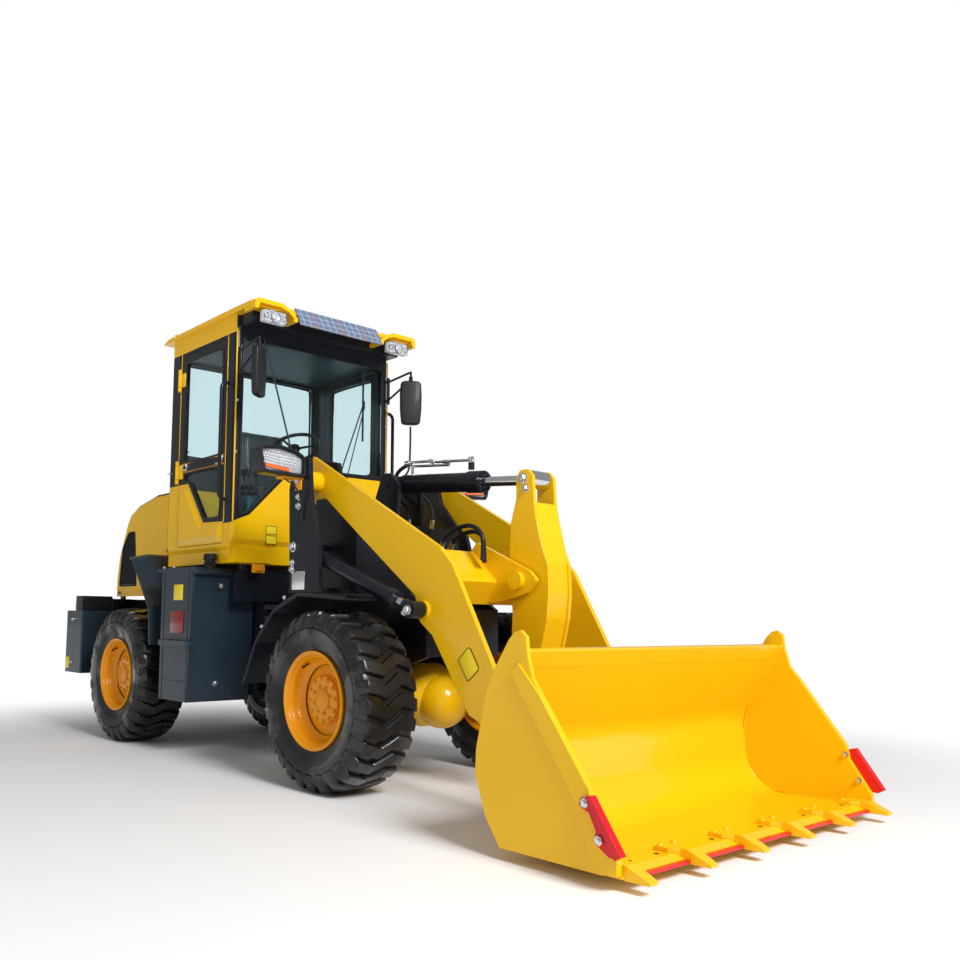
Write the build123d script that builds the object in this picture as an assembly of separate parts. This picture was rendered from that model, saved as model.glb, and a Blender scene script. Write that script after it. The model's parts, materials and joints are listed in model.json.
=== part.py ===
from build123d import *
import os
from math import atan2, cos, degrees, hypot, pi, sin, tan

os.makedirs("parts", exist_ok=True)

# A compact articulated wheel loader. Millimetres; X forward, Y left, Z up. While it is being
# modelled x = 0 is the articulation pin and z = 0 the ground. The last lines move it so that the
# origin lies on the ground under the middle of its length. Points (x, z) are in side view.

# Driving dimensions
front_axle_x = 1000
rear_axle_x = -1419
track = 1310
tyre_radius = 475
tyre_width = 368
lug_height = 26
lug_count = 20
tyre_sides = 20
rim_radius = 248.7
spindle_radius = 40
bucket_width = 1990
bucket_side = 20
bucket_skin = 14
boom_outer_y = 484
boom_wall = 28
boom_pin = (560, 1700)
boom_pin_radius = 30
bucket_pin = (2200, 330)
bellcrank_pin = (1802, 1104)
bellcrank_top = (1811, 1631)
bellcrank_foot = (1745, 612)
bellcrank_gap = 144
bellcrank_wall = 20
link_pin = (2205, 492)
lift_y = 545
lift_tube_radius = 42
lift_rear_pin = (515, 1312)
lift_front_pin = (1486, 950)
tilt_tube_radius = 55
tilt_rear_pin = (744, 1719)
steer_tube_radius = 33
steer_rear_pin = (-440, 190)
steer_front_pin = (250, 350)
steer_z = 560
tower_outer_y = 618
tower_inner_y = 410
tower_wall = 25
hinge_wall = 30
rail_y = 318
rail_wall = 20
rail_low = 640
rail_high = 1000
beam_y = 280
beam_wall = 25
beam_low = 640
beam_high = 1045
cab_rear_x = -1030
cab_front_x = -140
cab_half_width = 650
cab_floor_z = 1245
cab_top_z = 2868
cab_wall = 34
door_rear_x = -872
door_front_x = -248
door_foot_z = 1372
door_head_z = cab_top_z - 133
door_corner = 25
glass_wall = 6
seal = 24                    # width of the black border round a window
hood_half_width = 455
hood_wall = 6
rear_end_x = -2460
tooth_tip_x = 3100
swing = 6                    # running gap beside a moving piece
touch = 0.3                  # gap between pieces that seat on each other
pin_gap = 0.05               # radial gap of a pin in its bore

wheel_y = track / 2
bucket_half = bucket_width / 2
middle_x = (rear_end_x + tooth_tip_x) / 2
parts = {}


# Helpers
def outline(points, corner=0):
    """Closed profile through points, with every corner rounded to one radius."""
    face = make_face(Polyline(*points, close=True))
    return fillet(face.vertices(), corner) if corner else face


def ribbon(points, bend, wall):
    """Profile of a bent plate: a line of points, its corners rounded, and a wall on its left."""
    headings = [atan2(b[1] - a[1], b[0] - a[0]) for a, b in zip(points, points[1:])]
    far, near_radii, far_radii = [], [], []
    for i, (x, z) in enumerate(points):
        before, after = headings[max(i - 1, 0)], headings[min(i, len(headings) - 1)]
        half_turn = ((after - before + pi) % (2 * pi) - pi) / 2
        away = before + half_turn + pi / 2
        reach = wall / cos(half_turn)
        far.append((x + reach * cos(away), z + reach * sin(away)))
        if 0 < i < len(points) - 1:
            near_radii.append(bend)
            far_radii.append(bend - wall if half_turn > 0 else bend + wall)
    if near_radii:
        near_line = FilletPolyline(*points, radius=near_radii)
        far_line = FilletPolyline(*far, radius=far_radii)
    else:
        near_line, far_line = Polyline(*points), Polyline(*far)
    ends = [Line(near_line @ 0, far_line @ 0), Line(near_line @ 1, far_line @ 1)]
    return make_face([*near_line.edges(), *far_line.edges(), *ends])


def across(face, low_y, high_y):
    """A side profile given its width from low_y to high_y."""
    return Pos(0, high_y, 0) * extrude(Plane.XZ * face, high_y - low_y)


def flat(face, low_z, high_z):
    """A plan profile (x, y) given its height from low_z to high_z."""
    return Pos(0, 0, low_z) * extrude(face, high_z - low_z)


def both(shape):
    """The shape with its mirror image on the other side of the machine."""
    return Compound(children=[*shape.solids(), *mirror(shape, Plane.XZ).solids()])


def block(low, high):
    """A box between two corners."""
    size = [b - a for a, b in zip(low, high)]
    return Pos(*low) * Box(*size, align=(Align.MIN, Align.MIN, Align.MIN))


def bar(start, end, radius):
    """A round bar from one point to another."""
    axis = Vector(end) - Vector(start)
    base = Plane(origin=start, z_dir=axis)
    return base * Cylinder(radius, axis.length, align=(Align.CENTER, Align.CENTER, Align.MIN))


def cross(point, radius, low_y, high_y):
    """A round bar across the machine through the point (x, z)."""
    return bar((point[0], low_y, point[1]), (point[0], high_y, point[1]), radius)


def upright(point, radius, low_z, high_z):
    """A round bar standing at the point (x, y)."""
    return bar((point[0], point[1], low_z), (point[0], point[1], high_z), radius)


def along(start, end, distance, aside=0):
    """The point at a distance along the line from start to end, and aside to its left."""
    length = hypot(end[0] - start[0], end[1] - start[1])
    ux, uz = (end[0] - start[0]) / length, (end[1] - start[1]) / length
    return (start[0] + ux * distance - uz * aside, start[1] + uz * distance + ux * aside)


def raised(point, y):
    """A side-view point at a place across the machine."""
    return (point[0], y, point[1])


def bent_tube(points, radius, bend):
    """A round tube through points in space, its corners bent to one radius."""
    path = FilletPolyline(*points, radius=bend)
    ring = Plane(origin=path @ 0, z_dir=path % 0) * Circle(radius)
    return sweep(ring, path=path)


# Wheels: a tyre with its lugs, and a dished rim that turns on the axle's spindle
def tyre():
    half = tyre_width / 2
    crown = tyre_radius - lug_height
    bulge = crown - 72
    to_corner = 1 / cos(pi / tyre_sides)
    wall = [                         # distance from the tyre's middle, radius
        (half - 38, rim_radius - 6), (half, bulge), (half - 28, crown),
    ]
    stations = [*[(-y, r) for y, r in wall], *reversed(wall)]
    rings = [Pos(0, y, 0) * (Plane.XZ * RegularPolygon(r, tyre_sides)) for y, r in stations]
    bore = across(RegularPolygon((rim_radius + touch) * to_corner, tyre_sides), -half, half)
    carcass = loft(rings, ruled=True) - bore
    lean, lug_width = 35, 64         # degrees between a lug and the tyre's axis, and its width
    slant = tan(lean * pi / 180)
    half_foot = lug_width / 2 / cos(lean * pi / 180)
    shoulder_y = half - 36
    aside = shoulder_y * slant / 2   # how far a lug's middle lies ahead of its top
    reach = aside + half_foot
    top = (tyre_radius ** 2 - reach ** 2) ** 0.5
    side = outline([
        (0, bulge), (0, top), (shoulder_y, top), (half - 3, crown - 56), (half - 24, bulge)])
    lug = Pos(aside, 0, 0) * Rot(0, 0, lean) * block(
        (-lug_width / 2, -60, bulge), (lug_width / 2, tyre_width, top))
    lug = lug & extrude(Plane.YZ * side, tyre_radius, both=True)
    lug = lug.fuse(mirror(lug, Plane.XZ))
    first = -degrees(atan2(reach, top))
    lugs = [Rot(0, first + turn * 360 / lug_count, 0) * lug for turn in range(lug_count)]
    return carcass.fuse(*lugs)


def rim():
    half = tyre_width / 2
    bore = spindle_radius + pin_gap
    profile = [                      # radius, distance outboard of the wheel's middle
        (rim_radius, -half + 36), (rim_radius, half - 34), (rim_radius + 8, half - 28),
        (rim_radius + 8, half - 16), (rim_radius - 8, half - 16), (rim_radius - 14, half - 34),
        (rim_radius - 18, half - 92), (rim_radius - 36, half - 108), (150, half - 116),
        (130, half - 116), (130, half - 98), (122, half - 92), (72, half - 92), (70, half - 78),
        (60, half - 72), (0, half - 72), (0, 62), (bore, 62), (bore, -10), (90, -10), (104, 40),
        (rim_radius - 44, 48), (rim_radius - 12, 30), (rim_radius - 10, -half + 36),
    ]
    return revolve(outline(profile), Axis.Y)


tyre_shape, rim_shape = tyre(), rim()
for place, wheel_x in (("front", front_axle_x), ("rear", rear_axle_x)):
    for side, sign in (("left", 1), ("right", -1)):
        where = Pos(wheel_x, sign * wheel_y, tyre_radius)
        parts[f"tyre_{place}_{side}"] = where * (tyre_shape if sign > 0 else mirror(tyre_shape, Plane.XZ))
        parts[f"rim_{place}_{side}"] = where * (rim_shape if sign > 0 else mirror(rim_shape, Plane.XZ))


# Axles: a differential between two arms that end in hub flanges and spindles, with pads for the frame
def axle(axle_x, nose, bowl, pad_y, pad_top):
    hub_y = wheel_y - 10 - swing
    stations = [                     # place across, radius
        (0, bowl), (60, bowl), (130, bowl - 45), (190, 82), (430, 70), (450, 96), (500, 112),
        (hub_y, 112), (hub_y, spindle_radius), (hub_y + 72, spindle_radius),
    ]
    half = outline([(0, 0), *[(r, y) for y, r in stations], (0, stations[-1][0])])
    arm = revolve(half, Axis.Y)
    pad = block((-75, pad_y - 50, 40), (75, pad_y + 30, pad_top - tyre_radius))
    carrier = bar((0, 0, 0), (nose, 0, 0), 92) + bar((nose, 0, 0), (1.3 * nose, 0, 0), 46)
    cover = Pos(-0.36 * nose, 0, -30) * Sphere(bowl - 26)
    return Pos(axle_x, 0, tyre_radius) * arm.fuse(
        mirror(arm, Plane.XZ), carrier, cover, pad, mirror(pad, Plane.XZ))


parts["front_axle"] = axle(front_axle_x, -330, 178, beam_y, beam_low)
parts["rear_axle"] = axle(rear_axle_x, 330, 165, rail_y, rail_low + 40)

# Rear frame: two side rails, a hinge fork at the front, a belly box and cross members
hinge_levels = (430, 930)            # middle of the lower and the upper hinge lug
fork_x = -262
steer_wall = 14
steer_half = 34
inner_y = rail_y - rail_wall
rail = outline([
    (rear_end_x + 60, rail_low + 60), (rear_axle_x - 260, rail_low + 20),
    (rear_axle_x - 120, rail_low + 40), (rear_axle_x + 120, rail_low + 40),
    (rear_axle_x + 300, rail_low - 200), (-640, 379), (-330, 379), (-330, 640), (fork_x, 640),
    (fork_x, rail_high + 10), (rear_end_x + 60, rail_high + 10), (rear_end_x + 60, rail_high),
])
pieces = [*both(across(rail, inner_y, rail_y)).solids()]
for x in (-2380, -1900, -1080, -640):
    pieces.append(block((x, -rail_y, rail_high - 90), (x + 40, rail_y, rail_high)))
pieces.append(block((fork_x - 30, -rail_y, 640), (fork_x, rail_y, rail_high + 10)))
pieces.append(block((-640, -rail_y, 379), (-330, rail_y, 409)))
pieces.append(block((-640, -130, 335), (fork_x - 30, 130, 600)))
pieces.append(block((fork_x - 30, -115, 379), (fork_x, 115, 640)))
for level in hinge_levels:
    for z in (level - hinge_wall * 1.5 - swing, level + hinge_wall / 2 + swing):
        wide = 115 if level == hinge_levels[0] else rail_y
        fork = outline([
            (fork_x - 10, -wide), (fork_x - 10, wide), (-80, 90), (0, 92), (66, 66), (92, 0),
            (66, -66), (0, -92), (-80, -90)])
        pieces.append(flat(fork, z, z + hinge_wall))
    pieces.append(upright(
        (0, 0), 34, level - hinge_wall * 1.5 - swing, level + hinge_wall * 1.5 + swing))
cab_mount_y = 480
cab_feet = (-885, -270)
for x in cab_feet:
    pieces.append(block((x - 25, -cab_mount_y - 60, rail_high), (x + 25, cab_mount_y + 60, 1205)))
    for side in (-1, 1):
        pieces.append(upright((x, side * cab_mount_y), 24, 1205, cab_floor_z))
hood_pin = (-2202, 1080)
hood_pin_radius = 12
pieces.append(block((hood_pin[0] - 38, -436, rail_high), (hood_pin[0] + 38, 436, rail_high + 20)))
splash_y = hood_half_width + swing
for side in (-1, 1):
    low, high = sorted((side * 416, side * 436))
    pieces.append(block((hood_pin[0] - 30, low, rail_high), (hood_pin[0] + 30, high, hood_pin[1] + 30)))
    low, high = sorted((side * 416, side * (hood_half_width + 9)))
    pieces.append(cross(hood_pin, hood_pin_radius, low, high))
    for x in (rear_axle_x - 140, rear_axle_x + 260):
        low, high = sorted((side * inner_y, side * splash_y))
        pieces.append(block((x, low, tyre_radius * 2 + 10), (x + 60, high, tyre_radius * 2 + 40)))
    x, y = steer_rear_pin[0], side * steer_rear_pin[1]
    low, high = sorted((y, side * inner_y))
    for z in (steer_z - steer_half - swing - steer_wall, steer_z + steer_half + swing):
        pieces.append(block((x - 40, low, z), (x + 40, high, z + steer_wall)))
        pieces.append(upright((x, y), 40, z, z + steer_wall))
    pieces.append(upright((x, y), 18, steer_z - steer_half - swing - steer_wall,
                          steer_z + steer_half + swing + steer_wall))
parts["rear_frame"] = pieces[0].fuse(*pieces[1:])

# Engine: one plain block between the rails
parts["engine_block"] = block((-2060, -250, rail_high - 240), (-1230, 250, 1590)) - block(
    (-2100, -300, rail_high - 250), (-1860, 300, rail_high + touch))

# Counterweight closing the frame's rear end, with a pocket and a bore for a tow pin
tow_pin_radius = 16
tow_pin_x = rear_end_x + 45
weight = outline([
    (rear_end_x, -430), (rear_end_x, 430), (rear_end_x + 90, 490), (rear_end_x + 200, 490),
    (rear_end_x + 200, -490), (rear_end_x + 90, -490),
])
rail_slot = block(
    (rear_end_x + 60 - touch, -rail_y - touch, 0), (rear_end_x + 260, rail_y + touch, 1100))
parts["counterweight"] = flat(weight, 450, 1030) - rail_slot - block(
    (rear_end_x - 1, -60, 560), (rear_end_x + 80, 60, 640)) - block(
    (rear_end_x - 1, -90, 740), (rear_end_x + 80, 90, 1031)) - upright(
    (tow_pin_x, 0), tow_pin_radius, 440, 760)

# Battery boxes either side of the counterweight, and the rear lamps on top of them
box_low, box_high = 442, 930
parts["rear_boxes"] = both(fillet(
    block((rear_end_x + 23, 490 + touch, box_low), (-2120, 800, box_high)).edges().filter_by(Axis.Z), 14))
parts["rear_lamps"] = both(block((-2330, 520, box_high), (-2200, 770, box_high + 118)))

# Hood: side panels, sloping top and rear face in one shell, hinged at its rear foot
hood_top = [
    (-1085, 1330), (-1085, 1842), (-1619, 1838), (-1937, 1777), (-2072, 1718), (-2133, 1636),
    (-2207, 1490), (-2262, 1190), (-2262, 1050), (-1700, 1050), (-1420, 1330),
]
hood_side = outline(hood_top)
hood_inside = offset(hood_side, -hood_wall)
hood = fillet(across(hood_side, -hood_half_width, hood_half_width).edges().filter_by(
    lambda e: abs(abs(e.center().Y) - hood_half_width) < 1 and e.center().Z > 1500), 40)
hood = hood - across(hood_inside, -hood_half_width + hood_wall, hood_half_width - hood_wall)
hood = hood - block(
    (-2300, -hood_half_width + hood_wall, 1000), (-1000, hood_half_width - hood_wall, 1105))
hood = hood - block(
    (-2240, -hood_half_width + hood_wall, 1000), (-1000, hood_half_width - hood_wall, 1350))
hood = hood - cross(hood_pin, hood_pin_radius + pin_gap, -500, 500)
hood = hood - block((-1095, -hood_half_width + 40, 1300), (-1000, hood_half_width - 40, 1800))
grille_hole = outline([(-1960, 1570), (-2080, 1570), (-2185, 1440), (-2225, 1130), (-1900, 1130)], 12)
hood = hood - across(grille_hole, -hood_half_width - 5, hood_half_width + 5)
parts["hood"] = hood
grille = offset(grille_hole, -touch)
parts["hood_grilles"] = both(across(grille, hood_half_width - hood_wall, hood_half_width))

# Rear fenders: a bent plate ahead of each rear wheel, its outer part sloping down to the edge
fender_wall = 12
fender_crease_y, fender_edge_y = 660, 800
crease_line = [(-1309, 1336), (-1262, 1330), (-964, 955), (-935, 700)]
edge_line = [(-1309, 1303), (-1262, 1297), (-976, 948), (-947, 700)]
inner_part = across(ribbon(crease_line, 60, fender_wall), splash_y, fender_crease_y)
slope = loft([
    Pos(0, y, 0) * (Plane.XZ * ribbon(line, 60, fender_wall))
    for y, line in ((fender_crease_y, crease_line), (fender_edge_y, edge_line))], ruled=True)
splash = outline([(-1560, 1200), (-1309, 1341), (-1264, 1331), (-960, 957), (-975, 940), (-1560, 940)])
parts["rear_fenders"] = both(inner_part.fuse(
    slope, across(splash, splash_y, splash_y + 6)))

# Tanks: fuel on the right with a step, hydraulic oil on the left
tank_rear, tank_front, tank_low, tank_high = -790, -342, 352, 1195
tank_inner_y, tank_outer_y = 335, 800
plate_wall = 22
cap_place = (-352, 678)
for side, sign, name in (("right", -1, "fuel_tank"), ("left", 1, "hydraulic_tank")):
    body = block((tank_rear, tank_inner_y, tank_low), (tank_front, tank_outer_y, tank_high))
    body = fillet(body.edges().filter_by(Axis.Z), 22)
    body = body - across(outline([
        (tank_front + 1, tank_low - 1), (tank_front - 50, tank_low - 1), (tank_front, tank_high - 20),
        (tank_front + 1, tank_high - 20)]), tank_inner_y - 1, tank_outer_y + 1)
    cover = across(outline([
        (tank_rear - 70, tank_high), (tank_front, tank_high), (tank_front + 36, tank_high - 26),
        (tank_front + 44, tank_high - 12), (tank_front + 8, tank_high + plate_wall),
        (tank_rear - 70, tank_high + plate_wall)]), tank_inner_y, tank_outer_y)
    cap = upright(cap_place, 34, tank_high - 10, tank_high + 70) + upright(
        cap_place, 41, tank_high + 70, tank_high + 108)
    lip = flat(fillet(outline([
        (tank_rear + 60, tank_outer_y - 5), (tank_rear + 60, 846), (tank_front + 20, 846),
        (tank_front + 20, tank_outer_y - 5)]).vertices().filter_by(
            lambda v: v.Y > tank_outer_y), 22), 706, 744)
    well = flat(fillet(outline([
        (tank_rear + 72, tank_outer_y - 9), (tank_rear + 72, 834), (tank_front + 8, 834),
        (tank_front + 8, tank_outer_y - 9)]).vertices().filter_by(
            lambda v: v.Y > tank_outer_y), 12), 718, 745)
    seat = block((tank_rear + 100, rail_y, 660), (tank_front - 100, tank_inner_y + 1, 940))
    body = body.fuse(cover, cap, lip - well, seat)
    parts[name] = body if sign > 0 else mirror(body, Plane.XZ)

# Cab: a hollow shell with its windows and doors cut out, then divided into black pillars with
# window surrounds, and yellow body panels
half = cab_half_width
shell = block((cab_rear_x, -half, cab_floor_z), (cab_front_x, half, cab_top_z))
shell = fillet(shell.edges().filter_by(Axis.Z), 30)
room = block(
    (cab_rear_x + cab_wall, -half + cab_wall, cab_floor_z + cab_wall),
    (cab_front_x - cab_wall, half - cab_wall, cab_top_z + 1))
shell = shell - fillet(room.edges().filter_by(Axis.Z), 20)
door_hole = outline([
    (door_rear_x, door_foot_z), (door_front_x, door_foot_z), (door_front_x, door_head_z),
    (door_rear_x, door_head_z),
], door_corner)
shell = shell - across(door_hole, -half - 5, half + 5)
waist = [(-half + 28, 1519), (-518, 1561), (-265, 1810), (-195, 1882), (half - 28, 1892)]
surround = outline([*waist, (half - 28, door_head_z + 10), (-half + 28, door_head_z + 10)])
windscreen = fillet(offset(surround, -seal, kind=Kind.INTERSECTION).vertices(), 14)
rear_window = outline([
    (-half + 70, 2050), (half - 70, 2050), (half - 70, door_head_z - 5),
    (-half + 70, door_head_z - 5)], 40)
shell = shell - extrude(Plane.YZ.offset(cab_front_x - 60) * windscreen, 70)
shell = shell - extrude(Plane.YZ.offset(cab_rear_x - 10) * rear_window, 60)
door_pin = (door_rear_x - 2, half + 14)
hinge_heights = (1900, door_head_z - 175)
knuckles = []
for z in hinge_heights:
    knuckles.append(upright(door_pin, 6, z - 78, z + 78))
    for low in (z - 78, z + 46):
        knuckles.append(upright(door_pin, 12, low, low + 32))
        knuckles.append(block((door_pin[0] - 40, half, low), (door_pin[0], half + 12, low + 32)))
header = block((cab_front_x - 1, -half + 30, cab_top_z - 78), (0, half - 30, cab_top_z))
shell = shell.fuse(header, *both(knuckles[0].fuse(*knuckles[1:])).solids())
quarter_z, band_z = 1810, door_head_z + 22
wide = half + 1
front_panel = outline([
    (-wide, cab_floor_z - 1), (wide, cab_floor_z - 1), (wide, waist[0][1] - 16),
    (half - 28, waist[0][1]), (half - 28, waist[-1][1]), *waist[-2::-1], (-wide, waist[0][1] - 16)])
panel_space = extrude(Plane.YZ.offset(cab_front_x - cab_wall) * front_panel, cab_wall + 1).fuse(
    block((cab_rear_x - 1, -wide, cab_floor_z - 1), (door_rear_x, wide, quarter_z)),
    block(
        (cab_rear_x - 1, -wide, cab_floor_z - 1),
        (cab_front_x - cab_wall, wide, door_foot_z + door_corner)),
    block((door_front_x, -wide, cab_floor_z - 1), (cab_front_x - cab_wall, wide, waist[0][1] - 16)),
    block((cab_rear_x - 1, -wide, band_z), (cab_front_x - 10, wide, cab_top_z + 1)))
ledge_z = 1397                       # below it the front and the sides step inwards
front_step = across(outline([
    (cab_front_x + 1, cab_floor_z - 1), (cab_front_x - 22, cab_floor_z - 1),
    (cab_front_x - 22, ledge_z - 31), (cab_front_x + 1, ledge_z)]), -wide, wide)
sill_step = extrude(Plane.YZ.offset(cab_rear_x - 1) * outline([
    (wide, cab_floor_z - 1), (half - 20, cab_floor_z - 1), (half - 20, door_foot_z - 46),
    (wide, door_foot_z - 18)]), cab_front_x - 30 - cab_rear_x)
boxes = both(block((cab_front_x - 23, 347, 1250), (cab_front_x - 8, half - 34, 1340)))
panels = (shell & panel_space) - front_step - sill_step - mirror(sill_step, Plane.XZ)
parts["cab_frame"] = shell - panel_space
parts["cab_panels"] = panels.fuse(*boxes.solids())
pane = extrude(Plane.YZ.offset(cab_front_x - 20) * offset(windscreen, -touch), glass_wall)
rear_pane = extrude(Plane.YZ.offset(cab_rear_x + 14) * offset(rear_window, -touch), glass_wall)
parts["cab_glass"] = Compound(children=[*pane.solids(), *rear_pane.solids()])

# Roof: a flat tray whose front corners run on as lobes over the lamps, and a panel between them
roof_half = cab_half_width + 30
roof_z = cab_top_z + 44
edge_top, edge_foot = (72, roof_z - 2), (98, cab_top_z)
tray = across(outline([
    (-1112, cab_top_z), (-1106, cab_top_z + 20), (-1060, roof_z - 6), (-160, roof_z), edge_top,
    edge_foot]), -roof_half, roof_half)
tray = fillet(tray.edges().filter_by(lambda e: abs(
    abs(e.center().Y) - roof_half) < 1 and e.center().Z > cab_top_z + 25), 16)
lobe = outline([
    (roof_half + 2, cab_top_z - 26), (roof_half - 4, roof_z - 14), (roof_half - 24, roof_z),
    (470, roof_z), (400, roof_z - 32), (352, cab_top_z - 32), (352, cab_top_z - 56),
    (380, cab_top_z - 56), (384, cab_top_z - 32), (425, cab_top_z - 2), (480, cab_top_z + 16),
    (640, cab_top_z + 16), (656, cab_top_z - 26)])
lobe = extrude(Plane.YZ.offset(touch) * lobe, 125)
parts["cab_roof"] = tray.fuse(lobe, mirror(lobe, Plane.XZ))
panel_length = 136
parts["roof_panel"] = across(outline([
    along(edge_top, edge_foot, d, aside)
    for d, aside in ((-6, touch), (panel_length, touch), (panel_length, 14), (-6, 14))]), -346, 346)


# Doors: a black frame with two panes, and a yellow pressed panel at its foot, hinged at the rear
def door(sign):
    gap = 4
    leaf = offset(door_hole, -gap)
    low_y, high_y = half - cab_wall, half
    plate = across(leaf, low_y, high_y)
    window = outline([
        (door_rear_x + 60, 1960), (door_front_x - 50, 1960), (door_front_x - 50, door_head_z - 55),
        (door_rear_x + 60, door_head_z - 55),
    ], 30)
    low_window = outline([
        (-790, 1888), (-290, 1888), (-290, 1541), (-498, 1549), (-712, 1824), (-790, 1832)], 16)
    for hole in (window, low_window):
        plate = plate - across(hole, low_y - 5, high_y + 5)
    hinges = []
    for z in hinge_heights:
        hinges.append(upright(door_pin, 12, z - 45, z + 45))
        hinges.append(block((door_pin[0], half, z - 45), (door_rear_x + 60, half + 8, z + 45)))
    handle = block((-340, half - 1, 1914), (-284, half + 20, 1936))
    plate = plate.fuse(*hinges, handle)
    for z in hinge_heights:
        plate = plate - upright(door_pin, 6 + pin_gap, z - 50, z + 50)
    foot = outline([
        (door_rear_x, door_foot_z), (door_front_x, door_foot_z), (door_front_x, 1515), (-509, 1524),
        (-733, quarter_z), (door_rear_x, quarter_z)])
    foot_space = across(foot, low_y - 5, high_y + 1)
    raised_edge = offset(foot, -14, kind=Kind.INTERSECTION)
    raised_top = offset(foot, -52, kind=Kind.INTERSECTION)
    relief = loft([
        Pos(0, y, 0) * (Plane.XZ * face) for y, face in ((high_y, raised_edge), (high_y + 16, raised_top))
    ], ruled=True)
    panes = []
    for hole in (window, low_window):
        panes += across(offset(hole, -touch), high_y - 14, high_y - 14 + glass_wall).solids()
    made = plate - foot_space, (plate & foot_space).fuse(relief), Compound(children=panes)
    return [shape if sign > 0 else mirror(shape, Plane.XZ) for shape in made]


for side, sign in (("left", 1), ("right", -1)):
    names = (f"door_{side}", f"door_panel_{side}", f"door_glass_{side}")
    parts.update(zip(names, door(sign)))

# Inside the cab: seat, console with its column, and wheel
floor_z = cab_floor_z + cab_wall
cushion = fillet(block((-900, -240, floor_z + 420), (-440, 240, floor_z + 540)).edges(), 40)
backrest = across(outline([
    (-900, floor_z + 540), (-790, floor_z + 540), (-850, floor_z + 1020), (-940, floor_z + 1020)], 30),
    -230, 230)
base = block((-860, -190, floor_z), (-480, 190, floor_z + 420))
parts["driver_seat"] = cushion + backrest + base
column = across(outline([
    (-330, floor_z), (cab_front_x - cab_wall, floor_z), (cab_front_x - cab_wall, 1860), (-250, 1960),
    (-330, 1900)]), -190, 190)
wheel_centre = (-405, 0, 2090)
column_foot = (-300, 0, 1880)
parts["console"] = column + bar(column_foot, wheel_centre, 22)
wheel_plane = Plane(origin=wheel_centre, z_dir=Vector(wheel_centre) - Vector(column_foot))
ring = wheel_plane * revolve(Pos(180, 0, 0) * (Plane.XZ * RegularPolygon(13, 8)), Axis.Z)
spokes = [wheel_plane * Rot(0, 0, a) * Pos(90, 0, 0) * Box(180, 26, 12) for a in (90, 210, 330)]
hub = wheel_plane * Cylinder(34, 20, align=(Align.CENTER, Align.CENTER, Align.MIN))
steering_wheel = ring.fuse(*spokes, hub)
parts["steering_wheel"] = steering_wheel - bar(column_foot, wheel_centre, 22 + touch)

# Lamps, mirrors, wiper and grab rails on the cab
lamp_x = 60
lamp_z = cab_top_z - 57
parts["roof_lamps"] = both(block((lamp_x, 432, lamp_z - 41), (lamp_x + 70, 612, lamp_z + 41)) + block(
    (lamp_x - 30, 500, lamp_z - 41), (lamp_x, 545, cab_top_z - touch)))
mirror_x, mirror_y = 124, 640
mirror_z = cab_top_z - 435
bracket_x = cab_front_x + 28
arms = bent_tube([
    (bracket_x, 630, mirror_z + 196), (mirror_x, mirror_y, mirror_z + 226),
    (mirror_x, mirror_y, mirror_z + 100)], 8, 30)
arms = arms.fuse(
    bar((bracket_x, 630, mirror_z + 60), (mirror_x, mirror_y, mirror_z + 170), 8),
    upright((bracket_x, 630), 12, mirror_z + 30, mirror_z + 226),
    *[block((cab_front_x, 622, mirror_z + z), (bracket_x, 638, mirror_z + z + 16)) for z in (50, 190)])
mirror_body = fillet(Box(46, 156, 320).edges().filter_by(Axis.Z), 20)
parts["mirrors"] = both(arms.fuse(Pos(mirror_x, mirror_y, mirror_z) * Rot(0, 0, -35) * mirror_body))
wiper = bar((cab_front_x, 195, 1868), (cab_front_x + 24, 195, 1868), 20).fuse(
    bar((cab_front_x + 20, 195, 1868), (cab_front_x + 20, 410, cab_top_z - 568), 7),
    block((cab_front_x + 4, 400, cab_top_z - 708), (cab_front_x + 24, 416, cab_top_z - 178)))
parts["wiper"] = wiper
rail_path = [(-176, half, 1650), (-176, half + 80, 1650), (-176, half + 80, 2410), (-176, half, 2410)]
parts["grab_rails"] = both(bent_tube(rail_path, 12, 40))

# Front frame: box over the axle, hinge lugs, and the tower of two plates a side for the boom
back_x = 215
side_plate = outline([
    (back_x, 400), (620, 400), (740, 620), (front_axle_x - 110, beam_low),
    (front_axle_x + 110, beam_low), (1290, 700), (1290, 960), (1150, beam_high), (back_x, beam_high),
])
front = [*both(across(side_plate, beam_y - beam_wall, beam_y)).solids()]
front.append(block((back_x, -beam_y, 400), (back_x + 30, beam_y, beam_high)))
front.append(block((1262, -beam_y, 700), (1290, beam_y, 960)))
front.append(block((back_x, -beam_y, beam_high - 25), (1150, beam_y, beam_high)))
for level in hinge_levels:
    lug = outline([
        (back_x, -150), (back_x, 150), (40, 92), (0, 90), (-64, 64), (-90, 0), (-64, -64),
        (0, -90), (40, -92)])
    front.append(flat(lug, level - hinge_wall / 2, level + hinge_wall / 2) - upright(
        (0, 0), 34 + pin_gap, level - 40, level + 40))
outer_plate = outline([
    (512, 1858), (457, 1655), (480, 1045), (772, 1045), (757, 1335), (672, 1605), (655, 1816)], 12)
inner_plate = outline([
    (512, 1850), (440, 1655), (440, 1045), (840, 1045), (840, 1480), (700, 1640), (655, 1816)], 12)
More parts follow.
